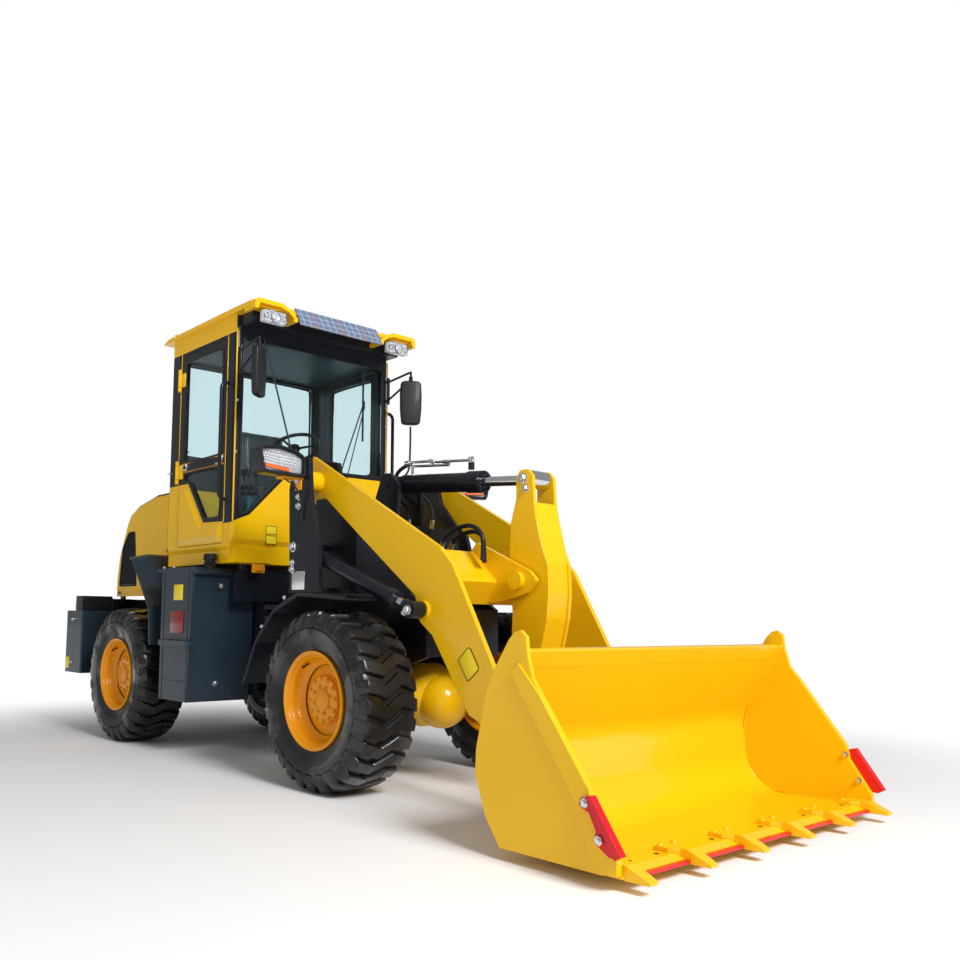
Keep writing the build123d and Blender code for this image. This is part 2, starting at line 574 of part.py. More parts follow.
for sign in (-1, 1):
    low, high = sorted((sign * tower_outer_y, sign * (tower_outer_y - tower_wall)))
    front.append(across(outer_plate, low, high))
    low, high = sorted((sign * tower_inner_y, sign * (tower_inner_y - tower_wall)))
    front.append(across(inner_plate, low, high))
    low, high = sorted((sign * 270, sign * tower_outer_y))
    front.append(block((470, low, 1045), (790, high, 1070)))
    for pin, radius in ((boom_pin, boom_pin_radius), (lift_rear_pin, 24)):
        low, high = sorted((sign * (tower_inner_y - tower_wall), sign * tower_outer_y))
        front.append(cross(pin, radius, low, high))
    x, y = steer_front_pin[0], sign * steer_front_pin[1]
    low, high = sorted((y, sign * (beam_y - 5)))
    for z in (steer_z - steer_half - swing - steer_wall, steer_z + steer_half + swing):
        front.append(block((x - 35, low, z), (x + 60, high, z + steer_wall)))
        front.append(upright((x, y), 35, z, z + steer_wall))
inner = tower_inner_y - tower_wall
front.append(block((500, -inner, 1400), (840, inner, 1460)))
front.append(block((815, -inner, 1045), (840, inner, 1460)))
bracket = outline([(560, 1450), (700, 1775), (770, 1775), (850, 1700), (838, 1450)], 15)
for low in (-105, 80):
    front.append(across(bracket, low, low + 25))
front.append(cross(tilt_rear_pin, 25, -115, 115))
parts["front_frame"] = front[0].fuse(*front[1:])

fender_line = [(1242, 1003), (826, 1028), (590, 938), (415, 765), (292, 520)]
fender = across(ribbon(fender_line, 60, 9), 280, 800)
fender = fender - block((1000, 200, 900), (1300, 600, 1100)) - block((200, 200, 400), (600, 420, 800))
parts["front_fenders"] = both(fender)
lamp_face = outline([
    (tower_outer_y, 1712), (tower_outer_y, 1826), (680, 1855), (790, 1874), (918, 1862), (925, 1840),
    (905, 1728), (880, 1718)], 9)
lens_face = offset(lamp_face, -16)
lamp = extrude(Plane.YZ.offset(500) * lamp_face, 110) - extrude(Plane.YZ.offset(590) * lens_face, 21)
lens = extrude(Plane.YZ.offset(590 + touch) * offset(lens_face, -touch), 16)
parts["head_lamps"] = both(lamp)
parts["head_lamp_lenses"] = both(lens)

# Boom: two plates with bosses, a box cross member and the bellcrank's bracket
boom_low = boom_outer_y - boom_wall
plate = outline([
    (508, 1862), (1600, 1265), (1690, 1175), (1983, 646), (2258, 394), (2258, 272), (2150, 262),
    (1852, 435), (1805, 455), (1671, 649), (1549, 826), (1460, 890), (1422, 1024), (942, 1375),
    (640, 1600), (500, 1600), (450, 1740),
])
arms = across(plate, boom_low, boom_outer_y)
arms = arms + cross(boom_pin, 62, tower_inner_y + swing, tower_outer_y - tower_wall - swing)
arms = arms + cross(bucket_pin, 66, boom_low - 26, boom_outer_y + 26)
arms = arms + cross(lift_front_pin, 48, boom_outer_y, lift_y - 40 - swing)
arms = arms - cross(boom_pin, boom_pin_radius + pin_gap, 300, 700)
arms = arms - cross(bucket_pin, boom_pin_radius + pin_gap, 300, 700)
tube = outline([(1430, 1200), (1481, 1267), (1662, 1098), (1588, 985), (1455, 985)])
tube = across(tube, -boom_low, boom_low)
web = outline([
    (1440, 1230), (1518, 1314), (1876, 1154), (1925, 1106), (1866, 1042), (1700, 1000), (1560, 990)], 12)
webs = [across(web, low, low + 25) for low in (-131, 106)]
crank_pin = cross(bellcrank_pin, 32, -150, 150)
caps = both(cross(bellcrank_pin, 46, 130, 158))
parts["boom"] = arms.fuse(mirror(arms, Plane.XZ), tube, *webs, crank_pin, *caps.solids())

# Bellcrank: two plates with a bent strip between their front edges
crank_in = bellcrank_gap / 2
crank_out = crank_in + bellcrank_wall
crank = outline([
    (1790, 1676), (1762, 1640), (1762, 1529), (1722, 1400), (1715, 1235), (1733, 950), (1727, 800),
    (1690, 650), (1700, 562), (1780, 556), (1860, 640), (1915, 752), (1956, 915), (1967, 1038),
    (1964, 1180), (1925, 1280), (1881, 1454), (1870, 1640), (1840, 1676),
], 14)
twin = [across(crank, low, low + bellcrank_wall) for low in (-crank_out, crank_in)]
front_line = [(1870, 1500), (1890, 1400), (1942, 1190), (1948, 1038), (1932, 915), (1890, 752)]
strip = across(ribbon(front_line, 60, 10), 5 - crank_out, crank_out - 5)
hub = cross(bellcrank_pin, 62, -100, 100)
foot_pin = cross(bellcrank_foot, 26, -crank_out - 8, crank_out + 8)
parts["bellcrank"] = twin[0].fuse(twin[1], strip, hub, foot_pin) - cross(
    bellcrank_pin, 32 + pin_gap, -200, 200)

# Link from the bellcrank's foot to the bucket
eye_half = bellcrank_gap / 2 - swing
shank = outline([
    along(bellcrank_foot, link_pin, 0, 38), along(bellcrank_foot, link_pin, 0, -38),
    along(link_pin, bellcrank_foot, 0, 38), along(link_pin, bellcrank_foot, 0, -38)])
link = across(shank, -30, 30).fuse(
    cross(bellcrank_foot, 52, -eye_half, eye_half), cross(link_pin, 50, -eye_half, eye_half))
parts["bucket_link"] = link - cross(bellcrank_foot, 26 + pin_gap, -200, 200)

# Bucket: a bent shell between side plates, with top beam, hinge ears and link ears
floor_z = 58
shell_line = [(2930, floor_z), (2400, floor_z), (2377, 420), (2604, 790)]
shell_bend = 190
inside = bucket_half - bucket_side
bowl = across(ribbon(shell_line, shell_bend, bucket_skin), -inside, inside)
side_face = outline([
    (2400, 627), (2346, 401), (2341, 305), (2397, 147), (2468, 47), (2930, 47), (3004, 58),
    (3005, 108), (2905, 262), (2894, 329), (2676, 635), (2635, 690), (2612, 776), (2604, 847),
    (2577, 870), (2548, 862), (2521, 835), (2435, 704),
])
strip_wall = 12                      # the strip along the side plate's front edge
strip_face = outline([
    (2533, 713), (2574, 746), (2676, 635), (2894, 329), (2905, 262), (3005, 108), (3004, 58),
    (2907, 58), (2841, 270)])
cheek = across(side_face, inside, bucket_half) + across(
    strip_face, bucket_half, bucket_half + strip_wall)
beam = across(outline([(2604, 790), (2540, 800), (2505, 740), (2565, 725)]), -inside, inside)
lip_x = 3005
lip = across(outline([(2880, 44), (lip_x, 44), (lip_x, 52), (2965, 70), (2880, 70)]), -inside, inside)
ear_face = outline([
    (2350, 640), (2430, 640), (2470, 420), (2470, 60), (2400, 130), (2330, 230), (2200, 254),
    (2130, 300), (2130, 360), (2220, 410),
], 8)
link_face = outline([
    (2158, 470), (2158, 518), (2190, 544), (2420, 640), (2450, 300), (2350, 330), (2262, 420),
    (2225, 446)], 8)
inner_line = FilletPolyline(*shell_line, radius=shell_bend)
bucket_void = across(make_face([*inner_line.edges(), Line(inner_line @ 1, inner_line @ 0)]), -inside, inside)
boss_y = 26                          # how far the boom's end boss stands out of its plate
ears = []
for low in (boom_low - boss_y - swing - 25, boom_outer_y + boss_y + swing):
    ears.append(across(ear_face, low, low + 25))
ears.append(across(link_face, bellcrank_gap / 2, bellcrank_gap / 2 + 22))
rear_iron = []
for ear in ears:
    rear_iron += [ear - bucket_void, mirror(ear, Plane.XZ) - bucket_void]
pins = both(cross(
    bucket_pin, boom_pin_radius, boom_low - boss_y - swing - 35, boom_outer_y + boss_y + swing + 35))
parts["bucket"] = bowl.fuse(cheek, mirror(cheek, Plane.XZ), beam, lip, *rear_iron, *pins.solids())

tooth_face = outline([
    (2890, 70 + touch), (2965, 70 + touch), (lip_x + touch, 52 + touch), (lip_x + touch, 40),
    (tooth_tip_x, 40), (tooth_tip_x, 50), (3010, 90), (2890, 84),
])
tooth_plan = outline([
    (2890, -62), (2950, -62), (2985, -34), (tooth_tip_x + 1, -24), (tooth_tip_x + 1, 24), (2985, 34),
    (2950, 62), (2890, 62)])
tooth = across(tooth_face, -62, 62) & flat(tooth_plan, 30, 100)
tooth_places = [933 * share for share in (-1, -0.6, -0.2, 0.2, 0.6, 1)]
room = block((2800, -inside + touch, 0), (tooth_tip_x + 1, inside - touch, 200))
parts["bucket_teeth"] = Compound(children=[
    solid for y in tooth_places for solid in ((Pos(0, y, 0) * tooth) & room).solids()])

edges = []
for left, right in zip(tooth_places, tooth_places[1:]):
    edges += block((lip_x + touch, left + 36, 44), (lip_x + 22, right - 36, 56)).solids()
cutter_plate = outline([
    (2862, 276), (2872, 299), (2925, 314), (3046, 134), (3020, 118), (2985, 120), (2925, 158),
    (2934, 196), (2905, 254), (2878, 264)], 6)
cutter_bar = outline([(2905, 310), (2925, 314), (3046, 134), (3020, 118)])
cutter_y = bucket_half + strip_wall + touch
cutter = across(cutter_plate, cutter_y, cutter_y + 14) + across(cutter_bar, cutter_y, cutter_y + 32)
parts["bucket_edges"] = Compound(children=[*edges, *both(cutter).solids()])


# Cylinders: a barrel with its eye and head, and a rod with its eye
def cylinder(rear, front, tube_radius, rod_radius, barrel_length, head, inside, eye_half, eye_radius,
             pin_radius):
    """Barrel, rod and rod eye in side view about y = 0, from the rear pin to the front pin."""
    length = hypot(front[0] - rear[0], front[1] - rear[1])
    spot = {name: raised(along(rear, front, d), 0) for name, d in (
        ("foot", eye_radius - 4), ("head", barrel_length - head), ("mouth", barrel_length),
        ("bottom", eye_radius + 30), ("neck", length - eye_radius + 6), ("collar", length - eye_radius - 34),
    )}
    tube = bar(spot["foot"], spot["mouth"], tube_radius)
    tube = tube + bar(spot["head"], spot["mouth"], tube_radius + 7)
    tube = tube + cross(rear, eye_radius, -eye_half, eye_half)
    tube = tube - bar(spot["bottom"], raised(along(rear, front, length + 50), 0), rod_radius + pin_gap)
    tube = tube - cross(rear, pin_radius + pin_gap, -eye_half - 9, eye_half + 9)
    rod = bar(raised(along(rear, front, barrel_length - inside), 0), spot["collar"], rod_radius)
    eye = bar(spot["collar"], spot["neck"], rod_radius + 9) + cross(front, eye_radius, -eye_half, eye_half)
    return tube, rod, eye


lift_tube, lift_rod, lift_eye = cylinder(
    lift_rear_pin, lift_front_pin, lift_tube_radius, 24, 890, 60, 560, 38, 44, 24)
parts["lift_barrels"] = both(Pos(0, lift_y, 0) * lift_tube)
parts["lift_rods"] = both(Pos(0, lift_y, 0) * lift_rod)
parts["lift_rod_eyes"] = both(Pos(0, lift_y, 0) * lift_eye)
tilt_tube, tilt_rod, tilt_eye = cylinder(
    tilt_rear_pin, bellcrank_top, tilt_tube_radius, 27, 705, 108, 345, eye_half, 48, 25)
parts["tilt_barrel"] = tilt_tube
parts["tilt_rod"] = tilt_rod + tilt_eye

# Steering cylinders lie flat, one each side of the articulation pin
steer_run = [b - a for a, b in zip(steer_rear_pin, steer_front_pin)]
steer_tube, steer_rod, steer_eye = cylinder(
    (0, 0), (hypot(*steer_run), 0), steer_tube_radius, 16, 460, 60, 218, steer_half, 34, 18)
steer_rod = steer_rod + steer_eye
steer_turn = degrees(atan2(steer_run[1], steer_run[0]))
for side, sign in (("left", 1), ("right", -1)):
    for name, piece in (("barrel", steer_tube), ("rod", steer_rod)):
        laid = Rot(0, 0, steer_turn) * Rot(90, 0, 0) * piece
        laid = Pos(*steer_rear_pin, steer_z) * laid
        parts[f"steer_{name}_{side}"] = laid if sign > 0 else mirror(laid, Plane.XZ)

for name, shape in parts.items():
    moved = [Pos(-middle_x, 0, 0) * solid for solid in shape.solids()]
    export_step(Compound(children=moved), f"parts/{name}.step")
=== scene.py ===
import json
import math

import bmesh
import bpy
from mathutils import Matrix, Vector


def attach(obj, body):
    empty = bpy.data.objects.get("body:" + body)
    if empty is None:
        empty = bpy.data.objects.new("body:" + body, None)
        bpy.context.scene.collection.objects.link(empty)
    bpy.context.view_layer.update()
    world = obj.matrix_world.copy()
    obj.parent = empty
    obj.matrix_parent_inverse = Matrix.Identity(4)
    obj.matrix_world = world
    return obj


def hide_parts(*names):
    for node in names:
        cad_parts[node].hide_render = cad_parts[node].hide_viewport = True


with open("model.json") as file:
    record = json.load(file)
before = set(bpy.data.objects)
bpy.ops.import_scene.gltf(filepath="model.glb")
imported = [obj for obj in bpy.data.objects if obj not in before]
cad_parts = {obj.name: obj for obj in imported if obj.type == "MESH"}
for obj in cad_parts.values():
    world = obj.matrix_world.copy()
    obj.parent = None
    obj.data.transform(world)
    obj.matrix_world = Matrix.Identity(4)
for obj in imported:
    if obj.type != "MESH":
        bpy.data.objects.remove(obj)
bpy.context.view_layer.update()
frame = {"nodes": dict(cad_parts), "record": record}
nodes = frame["nodes"]


# Camera, floor and light
camera = {
    "place": (4.6157, -3.6794, 0.9158),
    "heading": 51.0458,          # degrees from +Y towards -X
    "rise": 5.9292,
    "roll": 0.7521,
    "lens": 34.53,
    "shift": (0.1225, 0.0421),
    "farthest": 200,
}
studio = {
    "keyFrom": (8.5, -1.6, 6.5),
    "keySize": 3.0,
    "keyPower": 900,
    "fillFrom": (1.0, -9.0, 3.5),
    "fillSize": 5.0,
    "fillPower": 35,
    "aim": (0, 0, 1),
    "skyLight": 0.34,
    "floorReach": 60,
    "floorFade": (2.6, 5.2),      # metres from the middle where the floor turns to backdrop
}


def aimCamera(spec):
    heading, rise, roll = (math.radians(spec[k]) for k in ("heading", "rise", "roll"))
    ahead = Vector((-math.sin(heading) * math.cos(rise), math.cos(heading) * math.cos(rise), math.sin(rise)))
    right = Vector((math.cos(heading), math.sin(heading), 0))
    up = right.cross(ahead)
    turned = right * math.cos(roll) + up * math.sin(roll)
    raised = up * math.cos(roll) - right * math.sin(roll)
    data = bpy.data.cameras.new("camera")
    data.lens = spec["lens"]
    data.shift_x, data.shift_y = spec["shift"]
    data.clip_end = spec["farthest"]
    eye = bpy.data.objects.new("camera", data)
    eye.matrix_world = Matrix.Translation(spec["place"]) @ Matrix(
        (turned, raised, -ahead)).transposed().to_4x4()
    bpy.context.collection.objects.link(eye)
    bpy.context.scene.camera = eye


# Shader maths: a wire is one socket that takes the usual operators
class Wire:
    def __init__(self, paint, socket):
        self.paint = paint
        self.socket = socket

    def math(self, operation, other):
        return self.paint.add("ShaderNodeMath", {"operation": operation}, {0: self, 1: other})

    def __add__(self, other):
        return self.math("ADD", other)

    def __sub__(self, other):
        return self.math("SUBTRACT", other)

    def __rsub__(self, other):
        return self.paint.add("ShaderNodeMath", {"operation": "SUBTRACT"}, {0: other, 1: self})

    def __mul__(self, other):
        return self.math("MULTIPLY", other)

    def __truediv__(self, other):
        return self.math("DIVIDE", other)

    __radd__, __rmul__ = __add__, __mul__

    def rise(self, low, high):      # 0 below low, 1 above high, smooth between
        return self.paint.add("ShaderNodeMapRange", {"interpolation_type": "SMOOTHSTEP"}, {
            "Value": self, "From Min": low, "From Max": high})


class Paint:
    def __init__(self, name, **fixed):
        self.material = bpy.data.materials.new(name)
        self.material.use_nodes = True
        self.tree = self.material.node_tree
        self.tree.nodes.clear()
        self.output = self.tree.nodes.new("ShaderNodeOutputMaterial")
        self.shader = self.tree.nodes.new("ShaderNodeBsdfPrincipled")
        self.tree.links.new(self.shader.outputs[0], self.output.inputs[0])
        for name, value in fixed.items():
            self.give(name.replace("_", " "), value)
        self.place = self.add("ShaderNodeTexCoord", {}, {}, "Object")

    def wire(self, socket, value):
        if isinstance(value, Wire):
            self.tree.links.new(value.socket, socket)
        elif hasattr(value, "__len__") and socket.type == "RGBA" and len(value) == 3:
            socket.default_value = (*value, 1)
        else:
            socket.default_value = value

    def give(self, name, value):
        self.wire(self.shader.inputs[name], value)
        return self

    def add(self, kind, settings, inputs, output=0):
        node = self.tree.nodes.new(kind)
        for name, value in settings.items():
            setattr(node, name, value)
        for name, value in inputs.items():
            self.wire(node.inputs[name], value)
        return Wire(self, node.outputs[output])

    def noise(self, scale, detail=3, roughness=0.5):
        return self.add("ShaderNodeTexNoise", {}, {
            "Vector": self.place, "Scale": scale, "Detail": detail, "Roughness": roughness})

    def mix(self, factor, first, second):
        return self.add("ShaderNodeMix", {"data_type": "RGBA"}, {0: factor, 6: first, 7: second}, 2)

    def bump(self, height, strength, distance, edge=0):
        sockets = {"Height": height, "Strength": strength, "Distance": distance}
        if edge:
            sockets["Normal"] = self.add("ShaderNodeBevel", {"samples": 4}, {"Radius": edge})
        return self.give("Normal", self.add("ShaderNodeBump", {}, sockets))

    def axis(self, letter):
        return self.add("ShaderNodeSeparateXYZ", {}, {0: self.place}, "XYZ".index(letter))

    def stripes(self, letter, pitch, line, start=0):      # 1 on thin lines a pitch apart
        steps = (self.axis(letter) - start) / pitch
        away = steps.math("PINGPONG", 0.5)
        return 1 - away.rise(line / pitch / 2, line / pitch)


enamel = {"coatShare": 0.55, "coatRough": 0.05, "specular": 0.22, "patches": 1.1, "smears": 26, "smearDepth": 0.02,
          "grains": 300, "grainHeight": 0.0005}


def gloss(name, colour, deep, rough, coat=0.6, edge=0.004, grain=0.008):
    paint = Paint(name, Coat_Weight=enamel["coatShare"] * coat, Coat_Roughness=enamel["coatRough"],
                  Specular_IOR_Level=enamel["specular"], Metallic=0)
    paint.give("Base Color", paint.mix(paint.noise(enamel["patches"]).rise(0.3, 0.75), colour, deep))
    paint.give("Roughness", rough + enamel["smearDepth"] * paint.noise(enamel["smears"], 4, 0.6).rise(0.4, 0.75))
    return paint.bump(paint.noise(enamel["grains"], 2), grain, enamel["grainHeight"], edge).material


def rubberPaint():
    paint = Paint("tyreRubber", Specular_IOR_Level=0.4)
    dust = paint.noise(9, 6, 0.62).rise(0.5, 0.74)
    wet = paint.noise(5.5, 4, 0.55).rise(0.42, 0.6)
    paint.give("Base Color", paint.mix(dust, (0.006, 0.0062, 0.007), (0.016, 0.014, 0.012)))
    paint.give("Roughness", 0.5 - 0.26 * wet + 0.12 * dust)
    paint.give("Coat Weight", 0.5 * wet)
    return paint.bump(paint.noise(120, 4, 0.6) + 0.5 * dust, 0.12, 0.0012, 0.003).material


def filmPaint():
    paint = Paint("roofFilm", Coat_Weight=0.9, Coat_Roughness=0.03, Metallic=0.25)
    grid = paint.stripes("Y", 0.052, 0.0035).math("MAXIMUM", paint.stripes("Z", 0.040, 0.003, 2.8))
    bars = paint.stripes("Y", 0.208, 0.006)
    ground = paint.mix(grid, (0.16, 0.24, 0.42), (0.55, 0.60, 0.68))
    paint.give("Base Color", paint.mix(bars, ground, (0.66, 0.24, 0.06)))
    paint.give("Roughness", 0.22 + 0.2 * grid)
    return paint.material


def glassPaint(name, colour, bend=1.45):
    paint = Paint(name, Transmission_Weight=1.0, IOR=bend, Roughness=0)
    return paint.give("Base Color", paint.mix(paint.noise(2.0, 2), colour, [c * 0.94 for c in colour])).material


def metalPaint(name, colour, rough, streak=0.12):
    paint = Paint(name, Metallic=1.0)
    paint.give("Base Color", paint.mix(paint.noise(40, 4), colour, [c * 0.8 for c in colour]))
    paint.give("Roughness", rough + streak * paint.noise(90, 4, 0.7).rise(0.4, 0.75))
    return paint.bump(paint.noise(240, 3), 0.04, 0.0004).material


def leatherPaint():
    paint = Paint("seatVinyl", Coat_Weight=0.35, Coat_Roughness=0.18, Sheen_Weight=0.15)
    cells = paint.add("ShaderNodeTexVoronoi", {"feature": "DISTANCE_TO_EDGE"}, {
        "Vector": paint.place, "Scale": 260})
    paint.give("Base Color", paint.mix(paint.noise(6, 4), (0.018, 0.02, 0.023), (0.03, 0.032, 0.036)))
    paint.give("Roughness", 0.42 + 0.2 * cells.rise(0.0, 0.12))
    return paint.bump(cells.rise(0.0, 0.15) + 0.6 * paint.noise(18, 4), 0.25, 0.0012).material


finishes = {      # gloss: colour, the colour it drifts to, roughness, coat, rounded edge, grain
    "yellow_paint": gloss("yellowPaint", (0.91, 0.53, 0.004), (0.90, 0.515, 0.004), 0.25),
    "orange_yellow_paint": gloss("orangePaint", (0.86, 0.34, 0.004), (0.84, 0.325, 0.004), 0.34, 0.45),
    "black_paint": gloss("blackPaint", (0.010, 0.013, 0.020), (0.008, 0.010, 0.015), 0.3, 0.3),
    "slate_paint": gloss("slatePaint", (0.021, 0.036, 0.053), (0.018, 0.032, 0.047), 0.34, 0.35),
    "red_paint": gloss("redPaint", (0.72, 0.008, 0.016), (0.66, 0.006, 0.013), 0.3),
    "grey_iron": gloss("ironPaint", (0.05, 0.055, 0.06), (0.03, 0.03, 0.034), 0.55, 0.1),
    "black_plastic": gloss("blackPlastic", (0.016, 0.017, 0.019), (0.012, 0.012, 0.014), 0.45, 0.1, grain=0.1),
    "tyre_rubber": rubberPaint(),
    "lamp_body": gloss("lampShell", (0.62, 0.65, 0.70), (0.5, 0.53, 0.58), 0.14, 0.9),
    "roof_film": filmPaint(),
    "chrome": metalPaint("chrome", (0.80, 0.81, 0.84), 0.07, 0.05),
    "tinted_glass": glassPaint("tintedGlass", (0.78, 0.91, 0.93), 1.18),
    "boltZinc": metalPaint("boltZinc", (0.78, 0.79, 0.80), 0.26),
    "hoseRubber": gloss("hoseRubber", (0.014, 0.015, 0.017), (0.02, 0.02, 0.022), 0.42, 0.2, grain=0.15),
    "sealRubber": gloss("sealRubber", (0.012, 0.012, 0.014), (0.018, 0.018, 0.02), 0.5, 0.1, 0.002, 0.1),
    "seatVinyl": leatherPaint(),
    "clearGlass": glassPaint("clearGlass", (0.97, 0.98, 1.0), 1.2),
    "amberLens": gloss("amberLens", (0.95, 0.16, 0.01), (0.85, 0.12, 0.008), 0.18, 0.9),
    "redLens": gloss("redLens", (0.30, 0.02, 0.008), (0.20, 0.012, 0.006), 0.3, 0.7, grain=0.1),
    "mirrorGlass": metalPaint("mirrorGlass", (0.55, 0.68, 0.75), 0.02, 0.02),
    "labelYellow": gloss("labelYellow", (0.92, 0.72, 0.02), (0.90, 0.68, 0.02), 0.4, 0.3),
    "lining": gloss("lining", (0.020, 0.060, 0.075), (0.015, 0.045, 0.058), 0.5, 0.1, grain=0.05),
    # painted shade: the near-black brown of the flat discs that stand in for the holes in the bucket lip
    "darkHole": gloss("darkHole", (0.02, 0.012, 0.004), (0.012, 0.008, 0.004), 0.6, 0.0),
}
slots = {s["node"]: s["material_slot"] for s in frame["record"]["subparts"]}
for name, node in nodes.items():
    node.data.materials.clear()
    node.data.materials.append(finishes[slots[name]])
print("finishes are on the", len(nodes), "nodes")


def lightRoom(spec):
    for name, key in (("keyLamp", "key"), ("fillLamp", "fill")):
        data = bpy.data.lights.new(name, "AREA")
        data.energy = spec[key + "Power"]
        data.size = spec[key + "Size"]
        lamp = bpy.data.objects.new(name, data)
        lamp.location = spec[key + "From"]
        lamp.rotation_euler = (Vector(spec["aim"]) - lamp.location).to_track_quat("-Z", "Y").to_euler()
        bpy.context.collection.objects.link(lamp)
    world = bpy.data.worlds.new("room")
    bpy.context.scene.world = world
    world.use_nodes = True
    tree = world.node_tree
    tree.nodes.clear()
    path = tree.nodes.new("ShaderNodeLightPath")
    seen = tree.nodes.new("ShaderNodeMath")
    seen.operation = "MAXIMUM"
    tree.links.new(path.outputs["Is Camera Ray"], seen.inputs[0])
    tree.links.new(path.outputs["Is Transmission Ray"], seen.inputs[1])
    glow = tree.nodes.new("ShaderNodeMapRange")
    glow.inputs["To Min"].default_value = spec["skyLight"]
    glow.inputs["To Max"].default_value = 1.0
    tree.links.new(seen.outputs[0], glow.inputs["Value"])
    sky = tree.nodes.new("ShaderNodeBackground")
    sky.inputs["Color"].default_value = (1, 1, 1, 1)
    tree.links.new(glow.outputs[0], sky.inputs["Strength"])
    tree.links.new(sky.outputs[0], tree.nodes.new("ShaderNodeOutputWorld").inputs[0])


def layFloor(spec):
    mesh = bpy.data.meshes.new("floor")
    reach = spec["floorReach"]
    corners = [(-reach, -reach, 0), (reach, -reach, 0), (reach, reach, 0), (-reach, reach, 0)]
    mesh.from_pydata(corners, [], [(0, 1, 2, 3)])
    floor = bpy.data.objects.new("floor", mesh)
    bpy.context.collection.objects.link(floor)
    paint = Paint("floor", Base_Color=(0.95, 0.95, 0.95), Roughness=0.6, Specular_IOR_Level=0.2)
    distance = paint.add("ShaderNodeVectorMath", {"operation": "LENGTH"}, {0: paint.place}, "Value")
    far = distance.rise(*spec["floorFade"])
    white = paint.add("ShaderNodeEmission", {}, {"Color": (1, 1, 1), "Strength": 1.0})
    whole = paint.add("ShaderNodeMixShader", {}, {
        0: far, 1: Wire(paint, paint.shader.outputs[0]), 2: white})
    paint.wire(paint.output.inputs[0], whole)
    mesh.materials.append(paint.material)


aimCamera(camera)
lightRoom(studio)
layFloor(studio)
bpy.context.scene.view_settings.view_transform = "Standard"
print("camera, light and floor are in place")


# Makers: sizes are millimetres from the articulation pin, X forward, Y left, Z up
pinAhead = 320      # how far the articulation pin stands behind the frame's origin
right, left, ahead, up = (0, -1, 0), (0, 1, 0), (1, 0, 0), (0, 0, 1)
sides = (("left", 1), ("right", -1))


def at(x, y, z):
    return Vector(((x - pinAhead) / 1000, y / 1000, z / 1000))


def millimetres(spot):      # the way back from at
    return spot.x * 1000 + pinAhead, spot.y * 1000, spot.z * 1000


def meshFrom(name, shape):
    mesh = bpy.data.meshes.new(name)
    shape.to_mesh(mesh)
    shape.free()
    return mesh


def joined(name, meshes):
    shape = bmesh.new()
    for mesh in meshes:
        shape.from_mesh(mesh)
    return meshFrom(name, shape)


def setPiece(name, shape, finish, body, *replaced, sharp=32):      # shape: a bmesh, a mesh or a list of meshes
    if isinstance(shape, list):
        shape = joined(name, shape)
    mesh = meshFrom(name, shape) if isinstance(shape, bmesh.types.BMesh) else shape
    mesh.name = name
    mesh.materials.clear()
    mesh.materials.append(finishes[finish])
    mesh.shade_smooth()
    if sharp:
        mesh.set_sharp_from_angle(angle=math.radians(sharp))
    piece = bpy.data.objects.new(name, mesh)
    bpy.context.collection.objects.link(piece)
    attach(piece, body)
    if replaced:
        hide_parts(*replaced)
    return piece


def prism(shape, outline, axis, low, high, bevel=0, segments=2):
    base, top = ([shape.verts.new(at(h, a, b) if axis == "x" else at(a, h, b)) for a, b in outline]
                 for h in (low, high))
    faces = [shape.faces.new(base), shape.faces.new(top)]
    for i in range(len(outline)):
        j = (i + 1) % len(outline)
        faces.append(shape.faces.new((base[i], base[j], top[j], top[i])))
    bmesh.ops.recalc_face_normals(shape, faces=faces)
    if bevel:
        edges = list({edge for face in faces for edge in face.edges})
        bmesh.ops.bevel(shape, geom=edges, offset=bevel / 1000, segments=segments, affect="EDGES",
                        profile=0.5, clamp_overlap=True)


def box(shape, low, high, bevel=0, segments=2):
    (x0, y0, z0), (x1, y1, z1) = low, high
    prism(shape, [(x0, z0), (x1, z0), (x1, z1), (x0, z1)], "y", y0, y1, bevel, segments)


def made(make, *specs):      # a fresh shape with one such part for each spec
    shape = bmesh.new()
    for spec in specs:
        make(shape, *spec)
    return shape


def lathe(shape, profile, foot=(0, 0, 0), axis=up, sides=32):      # profile: radius and height up the axis, metres
    axis = Vector(axis).normalized()
    side = axis.orthogonal().normalized()
    across = axis.cross(side)
    rings = []
    for radius, height in profile:
        middle = Vector(foot) + axis * height
        if radius == 0:
            rings.append([shape.verts.new(middle)] * sides)
            continue
        turns = [2 * math.pi * k / sides for k in range(sides)]
        rings.append([shape.verts.new(
            middle + (side * math.cos(t) + across * math.sin(t)) * radius) for t in turns])
    for low, high in zip(rings, rings[1:]):
        for k in range(sides):
            corners = [low[k], low[(k + 1) % sides], high[(k + 1) % sides], high[k]]
            kept = [v for n, v in enumerate(corners) if v not in corners[:n]]
            if len(kept) > 2:
                shape.faces.new(kept)


def pipe(name, points, radius, closed=False, straight=False):
    curve = bpy.data.curves.new(name, "CURVE")
    curve.dimensions = "3D"
    curve.bevel_depth = radius / 1000
    curve.bevel_resolution = 3
    curve.use_fill_caps = not closed
    spline = curve.splines.new("NURBS")
    spline.points.add(len(points) - 1)
    for point, place in zip(spline.points, points):
        point.co = (*at(*place), 1)
    spline.order_u = 2 if straight else 3
    spline.use_cyclic_u = closed
    spline.use_endpoint_u = not closed
    spline.resolution_u = 8
    worker = bpy.data.objects.new(name, curve)
    bpy.context.collection.objects.link(worker)
    bpy.context.view_layer.update()
    mesh = bpy.data.meshes.new_from_object(worker.evaluated_get(bpy.context.evaluated_depsgraph_get()))
    bpy.data.objects.remove(worker)
    return mesh


